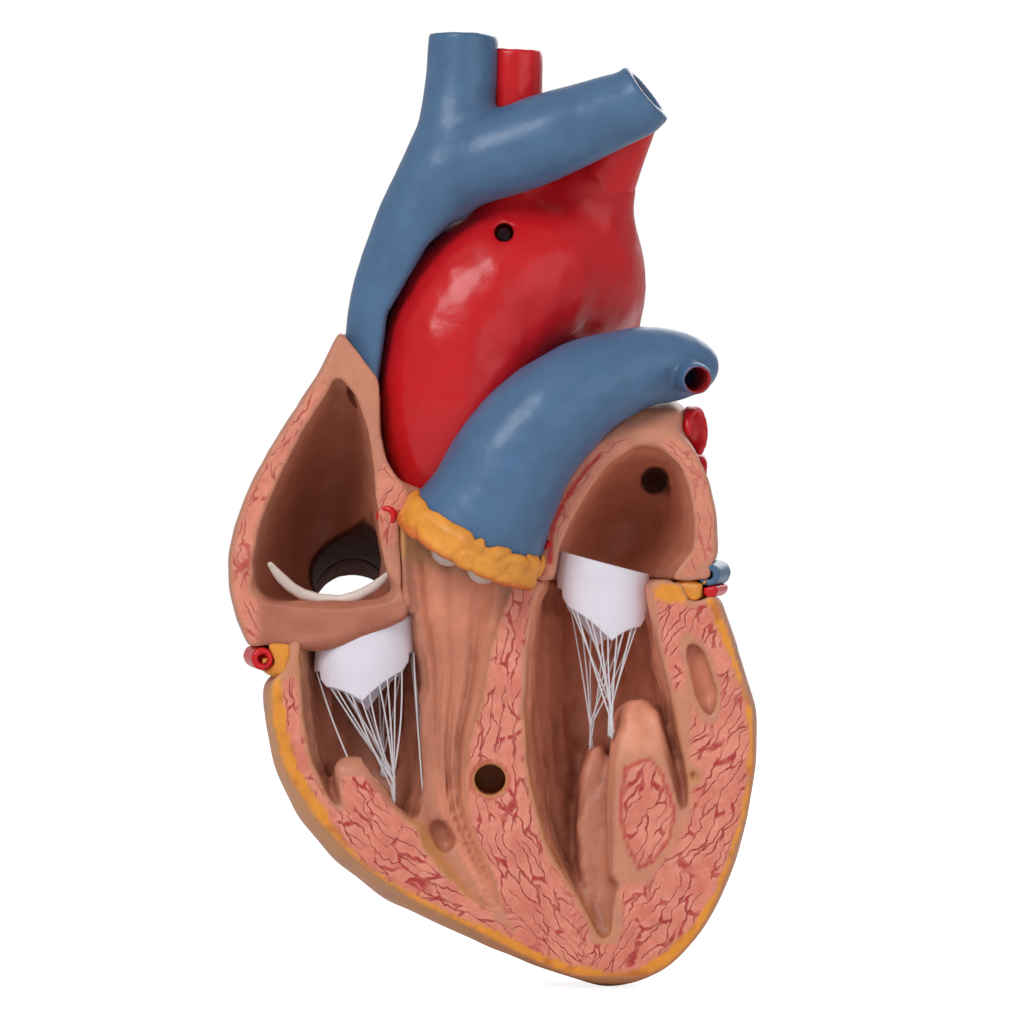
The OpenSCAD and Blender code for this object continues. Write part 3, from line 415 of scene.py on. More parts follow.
class Nodes:
    """Short hand for node trees."""

    def __init__(self, name, rough, spec):
        self.m = bpy.data.materials.new(name)
        self.m.use_nodes = True
        self.t = self.m.node_tree
        self.bsdf = self.t.nodes["Principled BSDF"]
        self.bsdf.inputs["Roughness"].default_value = rough
        self.bsdf.inputs["Specular IOR Level"].default_value = spec

    def put(self, socket, value):
        if isinstance(value, bpy.types.NodeSocket):
            self.t.links.new(value, socket)
        elif value is not None:
            socket.default_value = (*value, 1) if socket.type == "RGBA" and len(value) == 3 else value

    def attr(self, name, out="Fac"):
        n = new_node(self.t, "Attribute")
        n.attribute_name = name
        return n.outputs[out]

    def place(self):
        """Object coordinates in mm."""
        c = new_node(self.t, "TexCoord")
        return self.vec("MULTIPLY", c.outputs["Object"], (1000, 1000, 1000))

    def math(self, op, a, b):
        n = new_node(self.t, "Math")
        n.operation = op
        self.put(n.inputs[0], a)
        self.put(n.inputs[1], b)
        return n.outputs[0]

    def mul(self, a, b):
        return self.math("MULTIPLY", a, b)

    def add(self, a, b):
        return self.math("ADD", a, b)

    def vec(self, op, a, b):
        n = new_node(self.t, "VectorMath")
        n.operation = op
        self.put(n.inputs[0], a)
        self.put(n.inputs[1], b)
        return n.outputs[0]

    def mix(self, fac, a, b):
        n = new_node(self.t, "Mix")
        n.data_type = "RGBA"
        self.put(n.inputs[0], fac)
        self.put(n.inputs[6], a)
        self.put(n.inputs[7], b)
        return n.outputs[2]

    def lerp(self, fac, a, b):
        n = new_node(self.t, "Mix")
        n.data_type = "FLOAT"
        self.put(n.inputs[0], fac)
        self.put(n.inputs[2], a)
        self.put(n.inputs[3], b)
        return n.outputs[0]

    def ramp(self, value, lo, hi, out_lo=0.0, out_hi=1.0):
        n = new_node(self.t, "MapRange")
        n.interpolation_type = "SMOOTHSTEP"
        self.put(n.inputs[0], value)
        for k, v in zip((1, 2, 3, 4), (lo, hi, out_lo, out_hi)):
            self.put(n.inputs[k], v)
        return n.outputs[0]

    def noise(self, where, scale, detail=2.0, rough=0.5, out=0):
        n = new_node(self.t, "TexNoise")
        self.put(n.inputs["Vector"], where)
        for k, v in (("Scale", scale), ("Detail", detail), ("Roughness", rough)):
            n.inputs[k].default_value = v
        return n.outputs[out]

    def cells(self, where):
        """Distance to the nearest edge between cells about 1 across."""
        n = new_node(self.t, "TexVoronoi")
        n.feature = "DISTANCE_TO_EDGE"
        self.put(n.inputs["Vector"], where)
        n.inputs["Scale"].default_value = 1.0
        return n.outputs["Distance"]

    def grey(self, value):
        n = new_node(self.t, "CombineXYZ")
        for s in n.inputs:
            self.put(s, value)
        return n.outputs[0]

    def bump(self, height, distance, strength=1.0):
        n = new_node(self.t, "Bump")
        n.inputs["Strength"].default_value = strength
        n.inputs["Distance"].default_value = distance * MM
        self.put(n.inputs["Height"], height)
        return n.outputs[0]

    def end(self, colour, normal):
        self.put(self.bsdf.inputs["Base Color"], colour)
        self.put(self.bsdf.inputs["Normal"], normal)
        return self.m


def resin(name, rough, mottle=0.10, pits=0.3, brush=1.0, spec=0.3):
    """Painted cast resin: the piece's own tone, unevenly brushed. pits and brush are heights of its grain."""
    n = Nodes(name, rough, spec)
    p = n.place()
    tone = n.attr("tone", "Color")
    cloud = n.noise(p, 0.22, 4, 0.6)
    fine = n.noise(p, 1.9, 3, 0.6)
    shade = n.add(n.ramp(cloud, 0.3, 0.7, 1 - mottle, 1 + mottle * 0.6),
                   n.ramp(fine, 0.3, 0.7, -mottle * 0.35, mottle * 0.35))
    both = n.vec("MULTIPLY", tone, n.grey(shade))
    height = n.add(n.mul(n.noise(p, 0.9, 3, 0.55), brush),
                    n.mul(n.noise(p, 5.0, 2, 0.5), pits))
    return n.end(both, n.bump(height, 0.06))


def flesh_material(name):
    """Cut muscle: pink with thin incised crimson strokes that follow the fibres, and the piece's tone elsewhere."""
    n = Nodes(name, 0.42, 0.3)
    p = n.place()
    tone = n.attr("tone", "Color")
    n.put(n.bsdf.inputs["Roughness"], n.ramp(n.attr("tone"), 0.03, 0.26, 0.8, 0.42))
    flesh = n.attr("flesh")

    def strokes(layer, seed, wide, long):
        at = n.attr(layer, "Vector")
        wob = n.noise(n.vec("ADD", at, (seed, seed * 2.0, 0)), 0.16, 2, 0.5, out=1)
        wob = n.vec("SUBTRACT", wob, (0.5, 0.5, 0.5))
        at = n.vec("ADD", at, n.vec("MULTIPLY", wob, (4.0, 4.4, 0)))
        wob = n.vec("SUBTRACT", n.noise(at, 0.75, 1, 0.5, out=1), (0.5, 0.5, 0.5))
        at = n.vec("ADD", at, n.vec("MULTIPLY", wob, (0.9, 1.15, 0)))
        d = n.cells(n.vec("MULTIPLY", at, (1 / long, 1 / wide, 1)))
        gap = n.noise(n.vec("MULTIPLY", n.vec("ADD", at, (9.0, seed, 3.0)), (0.16, 0.5, 1)), 1.0, 1, 0.5)
        there = n.ramp(gap, 0.37, 0.47)
        line = n.mul(n.ramp(d, 0.070, 0.020), there)
        rim = n.mul(n.ramp(d, 0.26, 0.08), there)
        return line, rim

    la, ra = strokes("fib_a", 1.7, 2.0, 9.0)
    lb, rb = strokes("fib_b", 5.1, 2.0, 9.5)
    w = n.attr("fib_w")
    line = n.mul(n.lerp(w, la, lb), flesh)
    rim = n.mul(n.lerp(w, ra, rb), flesh)
    cloud = n.noise(p, 0.16, 3, 0.6)
    fine = n.noise(p, 1.1, 3, 0.6)
    pink = n.mix(n.ramp(cloud, 0.35, 0.65), (0.70, 0.200, 0.142), (0.79, 0.275, 0.195))
    pink = n.mix(n.ramp(fine, 0.45, 0.75, 0, 0.35), pink, (0.60, 0.115, 0.075))
    pink = n.mix(n.mul(rim, 0.30), pink, (0.86, 0.38, 0.28))
    body = n.mix(flesh, tone, pink)
    body = n.mix(n.mul(line, n.ramp(n.noise(p, 0.5, 2, 0.5), 0.3, 0.6, 0.62, 0.95)), body,
                 (0.43, 0.028, 0.032))
    body = n.vec("MULTIPLY", body, n.grey(n.ramp(n.noise(p, 0.35, 4, 0.6), 0.3, 0.7, 0.93, 1.05)))
    height = n.add(n.math("SUBTRACT", n.mul(rim, 0.45), line),
                    n.mul(n.noise(p, 1.2, 3, 0.6), 0.35))
    return n.end(body, n.bump(height, 0.16))


# BROWN and DEEP are the chambers' brown paint, laid on with depth and in creases, where they also stand in for
# painted shade.
TAN, CONUS, BROWN, DEEP, FAT, FAT_DARK, SKIN, CRIMSON = np.array([
    [0.60, 0.245, 0.155], [0.58, 0.215, 0.132], [0.30, 0.085, 0.045], [0.13, 0.028, 0.012],
    [0.80, 0.30, 0.035], [0.56, 0.17, 0.03], [0.52, 0.23, 0.14], [0.43, 0.03, 0.03]])

# ------------ ventricles

RV = px((302, 690), (300, 716), (309, 757), (322, 790), (340, 824), (359, 843), (372, 835), (392, 815), (420, 822),
        (440, 850), (470, 895), (515, 935), (500, 890), (480, 845), (468, 805), (470, 740), (483, 700), (500, 620),
        (505, 585), (400, 560), (400, 600), (330, 640), (312, 650))
RV_ROOM = px((300, 680), (300, 716), (309, 757), (322, 790), (352, 758), (393, 810), (420, 820), (430, 700),
             (418, 600), (330, 630))
TROUGH_L = px((412, 560), (424, 640), (430, 700), (432, 770), (440, 815), (462, 860), (486, 905), (512, 938))
TROUGH_R = px((512, 585), (497, 640), (484, 700), (471, 745), (466, 790), (472, 825), (486, 862), (500, 900),
              (516, 936))
LV = px((530, 590), (526, 650), (524, 700), (531, 780), (546, 840), (566, 879), (583, 901), (602, 941), (622, 905),
        (690, 815), (688, 767), (676, 716), (664, 675), (657, 636), (651, 590), (600, 540), (550, 545))
POCKET = px((681, 632), (695, 636), (708, 668), (718, 699), (711, 725), (698, 715), (688, 683))
CUT_EDGE = px((262, 655), (266, 678), (270, 716), (275, 747), (284, 774), (296, 793), (307, 808), (324, 831),
              (340, 847), (359, 866), (388, 887), (416, 902), (455, 921), (493, 938), (530, 957), (570, 973),
              (608, 982), (640, 979), (672, 960), (700, 932), (724, 890), (742, 835), (752, 790), (756, 745),
              (753, 712), (742, 672), (727, 636), (713, 602))
SEPTUM = px((517, 590), (510, 640), (504, 690), (500, 740), (502, 790), (512, 835), (532, 880), (556, 915),
            (585, 950), (615, 985))
FLOOR = px((282, 640), (286, 720), (300, 780), (330, 830), (370, 870), (430, 905), (500, 935), (570, 968), (640, 985))
CORE = px((276, 560), (284, 716), (300, 780), (330, 812), (372, 850), (430, 885), (512, 925), (560, 935),
          (600, 955), (640, 940), (700, 860), (728, 780), (728, 712), (715, 640), (700, 560))
TEAR = px((648, 759), (661, 773), (675, 814), (668, 840), (652, 862), (639, 867), (625, 838), (621, 810),
          (625, 769))
PAPILLA = px((600, 690), (690, 690), (690, 818), (672, 850), (650, 884), (618, 885), (600, 860), (596, 760))


def ventricle_shape(p):
    xz = p[:, [0, 2]]
    y = p[:, 1]
    deep = smooth(0.3, 3.0, y)
    rv = within(RV_ROOM, xz, 1.5) * deep
    lv = within(LV, xz, 1.0) * deep
    out = -0.55 * rv * (1 - np.abs(noise(p, (3.4, 4.5, 7.0), 3)) * 2.2)
    out += -0.45 * lv * (1 - np.abs(noise(p, (2.6, 4.0, 9.0), 5)) * 2.2)
    out += -0.18 * noise(p, 1.6, 8) * (rv + lv)
    left, right = along(TROUGH_L, xz)[0], along(TROUGH_R, xz)[0]
    t = left / np.maximum(left + right, 0.1)
    trough = inside(np.vstack([TROUGH_L, TROUGH_R[::-1]]), xz) * smooth(0, 1.6, np.minimum(left, right))
    trough = trough * smooth(0.2, 1.5, y)
    wave = np.cos(2 * np.pi * (3.6 * t + 0.12 * noise(p, (6, 6, 12), 11)))
    out += -0.50 * trough * wave * smooth(-34, -10, xz[:, 1])
    out += -0.16 * trough * noise(p, (1.8, 3, 5), 12)
    return out + 0.10 * noise(p, 5.0, 14) * (y > 1.2)


SECTIONS = ("ventricle_base", "ventricle_septum", "right_ventricle_wall", "left_ventricle_wall", "ventricle_apex")
SECTION_PLANES = ((2, 16.3), (2, -13.3), (0, -8.3), (0, 9.3))     # axis and place of the planes where they meet, mm
meshes, count = [], 0
for node in SECTIONS:
    co, tris = cad_mesh(node)
    meshes.append((co, tris + count))
    count += len(co)
co, tris = np.vstack([m[0] for m in meshes]), np.vstack([m[1] for m in meshes])
corner = co[tris]
shared = np.zeros(len(tris), bool)
for axis, at in SECTION_PLANES:
    shared |= (np.abs(corner[:, :, axis] - at) < 0.003).all(1)
co, tris = pushed_front(co, tris[~shared])
f = Field(co.min(0), co.max(0), 0.7).from_mesh(co, tris).blur(0.7)
sharp = f.a.copy()
f.blur(2.0)
grid = np.stack(np.meshgrid(f.line(0).ravel(), f.line(2).ravel(), indexing="ij"), -1).reshape(-1, 2)
core = within(CORE, grid, 2.5).reshape(f.a.shape[0], 1, -1).astype(np.float32)
core = np.maximum(core, (f.line(2) > 26).astype(np.float32)) * (f.line(1) < 36)
f.a = sharp * core + f.a * (1 - core)          # the outer skin gets a softer form than the chambers
f.carve(ventricle_shape)
dimple = f.tube_field(np.array([[-10.4, 4.6, -10.2, 1.7], [-9.2, 4.8, -12.6, 1.9]]), 4)
f.cut(dimple, 1.2)
for a, b, r in (((-4.2, 4.2, -21.5), (-3.2, 4.0, -23.5), 1.0), ((0.4, 3.4, -26.5), (1.6, 3.0, -28.4), 0.8),
                ((21.2, 2.2, -24.5), (21.0, 2.2, -31.5), 0.75), ((25.4, 2.0, -25.4), (24.8, 2.0, -31.5), 0.7),
                ((40.6, 0.6, 0.9), (41.0, 0.6, 0.3), 0.7)):
    f.cut(f.tube_field(np.array([[*a, r], [*b, r * 0.8]]), 3), 0.8)
section = f.a.copy()
front_cut(f)
bore(f, (0, -1, 0), (0, PEG_DEEP, 0), PEG_R)
bore(f, OFF + (0, 0, -5), OFF + (0, 0, SOCKET_DEEP), PEG_R)
co, quads = f.mesh()
n = near(f, co)
groove = hollowness(f, co, n)
xz = co[:, [0, 2]]
front = on_face(co, n)
edge = edge_distance(f, co, section)
cut_d, _, cut_run = along(CUT_EDGE, xz)
cut_d += 0.35 * noise(co, 2.2, 21)
room = np.maximum.reduce([within(RV, xz, 1.2), within(LV, xz, 1.2), within(POCKET, xz, 1.0)])
room = room * (1 - smooth(0.2, 0.6, n[:, 1]) * smooth(12, 15, co[:, 1]))
trough_t = inside(np.vstack([TROUGH_L, TROUGH_R[::-1]]), xz) * 1.0
tone = SKIN * (1 + 0.06 * noise(co, 9.0, 30))[:, None]
fatty = smooth(0.1, 0.5, noise(co, (9, 9, 7), 31) + 0.9 * smooth(40, 56, np.abs(xz[:, 1] - 30) + 30))
tone = blend3(tone, FAT * 0.92, 0.35 * fatty)
band = smooth(7, 0.5, co[:, 1]) * smooth(6, -10, co[:, 0])
tone = blend3(tone, (0.60, 0.27, 0.10), 0.75 * band * (1 - room))
in_lv = (xz[:, 0] + 0.1 * xz[:, 1] > 7).astype(float)
# Chamber walls: the brown that deepens towards the back is partly the model's own paint wash and partly painted
# shade; the left chamber is painted lighter towards the top.
inner = blend3(TAN, BROWN, smooth(1.5, 13, co[:, 1]) * (0.62 - 0.30 * in_lv))
inner = blend3(inner, DEEP, smooth(9, 24, co[:, 1]) * (0.35 - 0.15 * in_lv))
inner = inner * (1 + 0.5 * in_lv * smooth(-10, 25, xz[:, 1]))[:, None]
# Painted light: the conus is painted lighter just under the pulmonary collar, where the collar's shadow falls, and
# low down.
lit = 1 + 0.45 * smooth(26, 36, xz[:, 1]) + 0.35 * smooth(4, -8, xz[:, 1])
inner = blend3(inner, CONUS * lit[:, None], trough_t * 0.85)
# Creases darker, partly the brown wash and partly painted shade; ridges lighter, a painted highlight.
inner = blend3(inner, DEEP * 1.5, np.clip(groove * 0.9, 0, 0.6))
inner = blend3(inner, TAN * 1.12, np.clip(-groove * 0.8, 0, 0.5))
tone = blend3(tone, inner, room)
wide = 1.9 * smooth(-8, 10, 40 - cut_run) + 1.3 + 0.7 * smooth(60, 105, cut_run) * smooth(150, 120, cut_run)
fat_line = front * smooth(wide + 0.25, wide - 0.25, cut_d)
tone = blend3(tone, blend3(FAT, FAT_DARK, smooth(0.2, 0.8, noise(co, 2.4, 33))), fat_line)
margin = front * (1 - fat_line)
tone = blend3(tone, TAN * 1.02, margin)
flesh = margin * smooth(0.75, 1.15, edge + 0.2 * noise(co, 1.8, 34)) * (1 - within(RV, xz, 0.2) * trough_t)
tear = within(TEAR, xz, 0.35)
flesh = flesh * (1 - within(PAPILLA, xz, 1.2) * (1 - tear))
WEDGE = px((646, 594), (668, 580), (704, 572), (712, 590), (696, 601), (668, 605))
wedge = front * within(WEDGE, xz, 0.6)
flesh = flesh * (1 - wedge)
tone = blend3(tone, FAT, wedge)
outline = front * smooth(0.55, 0.2, along(np.vstack([TEAR, TEAR[:1]]), xz)[0] + 0.15 * noise(co, 1.5, 35))
hole = np.abs(np.hypot(xz[:, 0], xz[:, 1]) - 3.75 + 0.3 * noise(co, 2.5, 36))
outline = np.maximum(outline, front * smooth(0.6, 0.25, hole) * 0.8)
flesh = flesh * (1 - 0.85 * outline)
tone = blend3(tone, CRIMSON * 1.15, outline * 0.85)
d1, s1, r1 = along(SEPTUM, xz)
d2, s2, r2 = along(FLOOR, xz)
FIBRES = math.radians(57)       # slope of the fibres in the left wall
ca, sa = math.cos(FIBRES), math.sin(FIBRES)
left_u = xz[:, 0] * ca + xz[:, 1] * sa
left_v = -xz[:, 0] * sa + xz[:, 1] * ca
on_left = smooth(-3, 3, xz[:, 0] + 0.28 * xz[:, 1] - 9) * smooth(-46, -36, xz[:, 1] + 0.2 * (30 - xz[:, 0]))
fib_b = np.c_[r1, d1 * s1, np.zeros(len(co))]
fib_floor = np.c_[r2 + 40, d2 * s2, np.full(len(co), 20.0)]
fib_wall = np.c_[left_u, left_v, np.full(len(co), 40.0)]
right_side = xz[:, 0] > 12
fib_a = np.where(right_side[:, None], fib_wall, fib_floor)
fib_w = np.where(right_side, 1 - on_left, smooth(9.5, 5.5, d1 + 0.12 * np.maximum(0, -22 - xz[:, 1])))
FLESH = flesh_material("cut_muscle")
piece("ventricles", co, quads, node=SECTIONS, material=FLESH,
      attributes={"tone": tone, "flesh": flesh, "fib_a": fib_a, "fib_b": fib_b, "fib_w": fib_w})

# ------------ atria

RA_ROOM = px((330, 385), (300, 420), (275, 470), (258, 520), (252, 560), (258, 600), (275, 625), (300, 635),
             (395, 612), (398, 590), (385, 560), (378, 520), (375, 470), (368, 430), (350, 395))
LA_ROOM = px((560, 545), (580, 490), (600, 467), (630, 449), (660, 448), (690, 475), (697, 520), (690, 560),
             (650, 575))
RA_RIM = px((333, 372), (300, 410), (268, 460), (245, 520), (238, 570), (244, 615), (262, 640))
LA_RIM = px((553, 540), (565, 500), (590, 462), (625, 438), (662, 436), (695, 462), (706, 510), (706, 560))
AORTA = [[-4, 21, 36, .65], [-5.5, 19, 50, .7], [-7, 15, 62, .86], [-7.2, 13, 72, .98], [-6.4, 12.4, 83, 1.03],
         [-2.1, 13.4, 94, 1.08], [7, 16, 102, 1.06], [15, 23, 104, .95], [19, 31.5, 99.5, .8], [19.4, 36.6, 90, .7],
         [19, 38, 80, .66]]
AORTA_R, BRANCH_R, VEIN_R, TRUNK_R = 15.5, 6, 7.4, 12      # radii that the paths' shares belong to, mm
# Dark brown painted shade for the lower great vein's bore.
BORE_SHADE = (0.085, 0.018, 0.008)


def from_bore(co):
    """How far points lie from the axis of the lower great vein's bore."""
    return np.hypot(co[:, 0] + 29, (co[:, 2] - 48.2 + 0.4 * (co[:, 1] - 12)) * 0.93)


def atrium_tone(f, co, n, room_poly, rim, depth, wall, dark):
    groove = hollowness(f, co, n)
    xz = co[:, [0, 2]]
    front = on_face(co, n)
    room = within(room_poly, xz, 1.0) * smooth(0.05, 0.3, co[:, 1]) * (1 - smooth(0.2, 0.6, n[:, 1]))
    # The chamber's brown deepens towards the back and in creases: partly the model's own paint, partly painted shade.
    inner = blend3(wall, BROWN * 1.15, smooth(1, depth * 0.55, co[:, 1]) * 0.5)
    inner = blend3(inner, dark, smooth(depth * 0.45, depth, co[:, 1]) * 0.35)
    inner = blend3(inner, DEEP, np.clip(groove, 0, 0.7))
    tone = TAN * 0.98 * (1 + 0.05 * noise(co, 8.0, 41))[:, None]
    tone = blend3(tone, SKIN, smooth(2, 14, co[:, 1]) * 0.7)
    tone = blend3(tone, inner, room)
    d, side, run = along(rim, xz)
    flesh = front * smooth(0.5, 0.9, edge_distance(f, co))
    return tone, flesh, np.c_[run, d * side, np.zeros(len(co))], front


def atrium_piece(side, co, quads, tone, flesh, fib):
    piece(side, co, quads, node=side + "_casting", material=FLESH,
          attributes={"tone": tone, "flesh": flesh, "fib_a": fib, "fib_b": fib, "fib_w": np.ones(len(co))})


f = casting("right_atrium_casting", 0.8, pushed=True)
f.carve(lambda p: 0.10 * noise(p, 3.0, 15) * (p[:, 1] > 0.6))
LIP = spline([[-47.0, 1.6, 33.5, 2.2], [-42, 2.6, 29.6, 2.6], [-34, 3.2, 28.8, 2.9], [-26, 3.2, 31.0, 3.0],
              [-19, 2.4, 34.4, 2.6]])
f.add(np.maximum(f.tube_field(LIP, 4), f.plane_field((0, 0, 0), (0, -1, 0))), 2.0)
f.cut(f.tube_field(spline([[-46, -1.4, 38.4, 2.6], [-38, -1.2, 37.2, 3.0], [-29, -1.2, 36.8, 3.0],
                           [-20.6, -1.4, 37.8, 2.6]]), 4), 2.2)
f.a -= SEAM
front_cut(f, ATRIA_BACK)
co, quads = f.mesh()
n = near(f, co)
tone, flesh, fib, front = atrium_tone(f, co, n, RA_ROOM, RA_RIM, 33, TAN * 1.02, DEEP)
right = smooth(-32, -24, co[:, 0])
flesh = flesh * (1 - right * smooth(30, 34, co[:, 2])) * smooth(82, 76, co[:, 2])
ledge = smooth(38, 35, co[:, 2]) * smooth(-48.5, -45, co[:, 0]) * smooth(9, 5, co[:, 1])
flesh = flesh * (1 - smooth(37, 34, co[:, 2]) * smooth(-48, -45, co[:, 0]))
# The ledge is painted darker where it faces down, a painted shade, and unevenly by noise.
tone = blend3(tone, blend3((0.47, 0.165, 0.105), (0.36, 0.11, 0.066),
                           smooth(-0.5, 0.8, noise(co, (7, 5, 4), 44) - n[:, 2] * 0.6)), 0.85 * ledge)
# Painted shade in the lower great vein's bore through the wall: dark brown.
tone = blend3(tone, BORE_SHADE, smooth(8.6, 8.2, from_bore(co)) * smooth(20, 24, co[:, 1]))
PATCH = px((378, 468), (392, 462), (412, 490), (412, 545), (385, 545), (378, 520))
flesh = np.maximum(flesh, front * within(PATCH, co[:, [0, 2]], 0.7))
atrium_piece("right_atrium", co, quads, tone, flesh * 0.8, fib)

f = casting("left_atrium_casting", 0.8, pushed=True)
f.carve(lambda p: 0.12 * noise(p, 3.4, 17) * (p[:, 1] > 0.6))
f.a -= SEAM
front_cut(f, ATRIA_BACK)
co, quads = f.mesh()
n = near(f, co)
tone, flesh, fib, front = atrium_tone(f, co, n, LA_ROOM, LA_RIM, 29, TAN * 1.4, BROWN)
# Painted shade: a near-black disc where the vein opens through the back wall, on the faces that look forward.
vein_hole_shade = smooth(3.2, 2.5, np.hypot(co[:, 0] - 33.4, co[:, 2] - 60.0))
vein_hole_shade = vein_hole_shade * smooth(8, 11, co[:, 1]) * (n[:, 1] < 0)
tone = blend3(tone, DEEP * 0.3, vein_hole_shade)
red_line = px((549, 562), (552, 530), (565, 500), (582, 475), (600, 455))
d = along(red_line, co[:, [0, 2]])[0] + 0.2 * noise(co, 2.0, 46)
tone = blend3(tone, CRIMSON * 1.2, front * smooth(0.7, 0.35, d))
flesh = flesh * smooth(0.3, 0.9, d)
atrium_piece("left_atrium", co, quads, tone, flesh * 0.55, fib)

# ------------ vessels

# RED_SHADE and BLUE_SHADE are painted shade for creases and holes.
RED, RED_SHADE, BLUE, BLUE_SHADE = np.array([
    [0.66, 0.011, 0.016], [0.44, 0.008, 0.012], [0.074, 0.152, 0.280], [0.055, 0.100, 0.175]])
GLOSS_RED = resin("artery_paint", 0.26, 0.05, 0.12, 0.75, 0.32)
SATIN_BLUE = resin("vein_paint", 0.33, 0.07, 0.2, 0.75, 0.32)
FAT_PAINT = resin("fat_paint", 0.36, 0.14, 0.2, 1.0, 0.35)
PALE = resin("valve_paint", 0.45, 0.06)


def painted(f, name, node, main, dark, material, extra=None):
    """Meshes a field and paints it: painted shade in creases, a painted highlight on crests, and dark open ends where
    extra paints them.
    """
    co, quads = f.mesh()
    n = near(f, co)
    groove = hollowness(f, co, n)
    tone = main * (1 + 0.05 * noise(co, 7.0, 50))[:, None]
    # Painted shade in creases and a painted highlight on crests.
    tone = blend3(tone, dark, np.clip(groove * 1.1, 0, 0.8))
    tone = blend3(tone, main * 1.18, np.clip(-groove * 0.25, 0, 0.2))
    if extra is not None:
        tone = extra(co, n, tone)
    return piece(name, co, quads, node=node, material=material, attributes={"tone": tone})


def in_end(co, at, out, r, deep):
    """Points of an open end's inside: in front of its bottom and within its mouth."""
    out = np.asarray(out, float) / np.linalg.norm(out)
    rel = co - np.asarray(at, float)
    t = rel @ out
    away = np.linalg.norm(rel - t[:, None] * out, axis=1)
    return smooth(-deep - 1.2, -deep - 0.6, t) * smooth(r, r - 0.35, away)


f = Field((-24, -4, 40), (34, 52, 122), 0.6)
pipe(f, AORTA, AORTA_R)
pipe(f, [[3, 14, 104, 1.25], [3.4, 13, 112, 1.08], [3.8, 12, 119, 1.0]], BRANCH_R, soft=4.0)
pipe(f, [[12, 20, 106, 1.3], [13, 17, 116, .95], [13.8, 15.4, 121, .8]], BRANCH_R, soft=5.0)
pipe(f, [[17.6, 24, 100, 2.0], [18.6, 21.5, 108, 1.66], [20.4, 18, 116, 1.36], [21.6, 16.4, 119, 1.2]], BRANCH_R,
     soft=5.0)
f.keep(-f.plane_field((0, 0, 44), (0, 0, 1)))
f.carve(lambda p: 0.22 * noise(p, (5, 6, 6), 18) + 0.10 * noise(p, 2.0, 19))
f.blur(0.5)
f.keep(np.where(f.line(1) > 27, f.plane_field((19, 38, 80.5), (0, 0, -1)), -9.0).astype(np.float32))
bore(f, (2.8, -6, AORTA_PEG_Z), (2.8, 9, AORTA_PEG_Z), AORTA_PEG_R)
# The peg hole is painted dark inside: painted shade.
painted(f, "aorta_tube", "aorta", RED, RED_SHADE, GLOSS_RED,
        extra=lambda co, n, t: blend3(t, RED_SHADE * 0.35, in_end(co, (2.8, 1, AORTA_PEG_Z), (0, -1, 0), 2.1, 12)))

f = Field((-38, -12, 70), (38, 20, 152), 0.5)
SVC = [[-22.7, 8.6, 79, .86], [-22, 8, 90, .95], [-20, 7.4, 99, 1], [-15.4, 6, 111, 1.06],
       [-10.4, 5, 121, 1.1], [-7.2, 5.4, 130, 1.02], [-5.8, 6, 140, .96], [-5.4, 6, 149.6, .94]]
LEFT_VEIN = [[-10, 5, 119, .9], [-2, 2.4, 124, 1.16], [7, 1, 127, 1.2], [15, .4, 130, 1.14], [23, -.2, 133, 1.02],
             [29, -.6, 135.4, .94], [31.4, -1.2, 137.6, .9]]
pipe(f, SVC, VEIN_R, wall=1.4, deep=2.0)
pipe(f, LEFT_VEIN, VEIN_R, wall=2.5, deep=4.0, soft=3.0)
beside = np.minimum.reduce([f.plane_field((-20.6, 0, 93.4), (0.99, 0, -0.137)),
                            f.plane_field((-20.6, 0, 93.4), (0.863, 0, -0.505)),
                            f.plane_field((-11, 0, 108.6), (0.677, 0, -0.735))])
f.cut(np.maximum(-beside, f.line(2) - 112.0), 1.2)      # leaves the front to the aorta
f.carve(lambda p: 0.16 * noise(p, (5, 5, 7), 23) + 0.06 * noise(p, 1.7, 24))
f.blur(0.4)


def vein_ends(co, n, tone):
    """Painted shade underneath, dark brown where it opens into the right atrium, and dark red paint in its two open
    ends.
    """
    ends = np.maximum(in_end(co, (31.4, -1.2, 137.6), (2.4, -.6, 2.2), 4.4, 4.5),
                      in_end(co, (-5.4, 6, 149.6), (0, 0, 1), 5.4, 2.6))
    return blend3(blend3(tone, BROWN * 0.4, smooth(79.6, 79, co[:, 2])), (0.20, 0.02, 0.025), ends)


painted(f, "upper_vein_tube", "upper_great_vein", BLUE, BLUE_SHADE, SATIN_BLUE, extra=vein_ends)

f = Field((-20, -18, 38), (56, 26, 98), 0.5)
TRUNK = [[-4.4, 2, 46.2, 1.22], [0, 0, 55, 1.08], [4.5, -1, 64, 1.01], [10, -1, 71, .94], [17, 0, 77, .85],
         [24.5, 2, 80.8, .74], [31, 4, 82.8, .66], [37, 6, 83, .58], [41, 7.4, 83, .42], [43, 8, 83, .16]]
pipe(f, TRUNK, TRUNK_R)
f.carve(lambda p: 0.18 * noise(p, (5, 5, 6), 27) + 0.07 * noise(p, 1.8, 28))
f.blur(0.4)
f.add(f.tube_field(np.array([[41.0, -4.4, 80.2, 3.2], [40.4, -1.6, 80.4, 3.4]]), 3), 1.6)
f.cut(f.tube_field(np.array([[41.6, -7, 79.8, 2.4], [38.6, 4, 81, 2.2]])), 0.6)
f.keep(f.plane_field((-4.4, 2, 45.2), (-0.42, 0.12, -0.9)))
painted(f, "trunk_tube", "pulmonary_trunk", BLUE * 1.04, BLUE_SHADE, SATIN_BLUE,
        extra=lambda co, n, t: blend3(t, (0.34, 0.016, 0.02),
                                      in_end(co, (41.0, -4.0, 80.0), (2.9, -11, -1.1), 2.9, 6)))


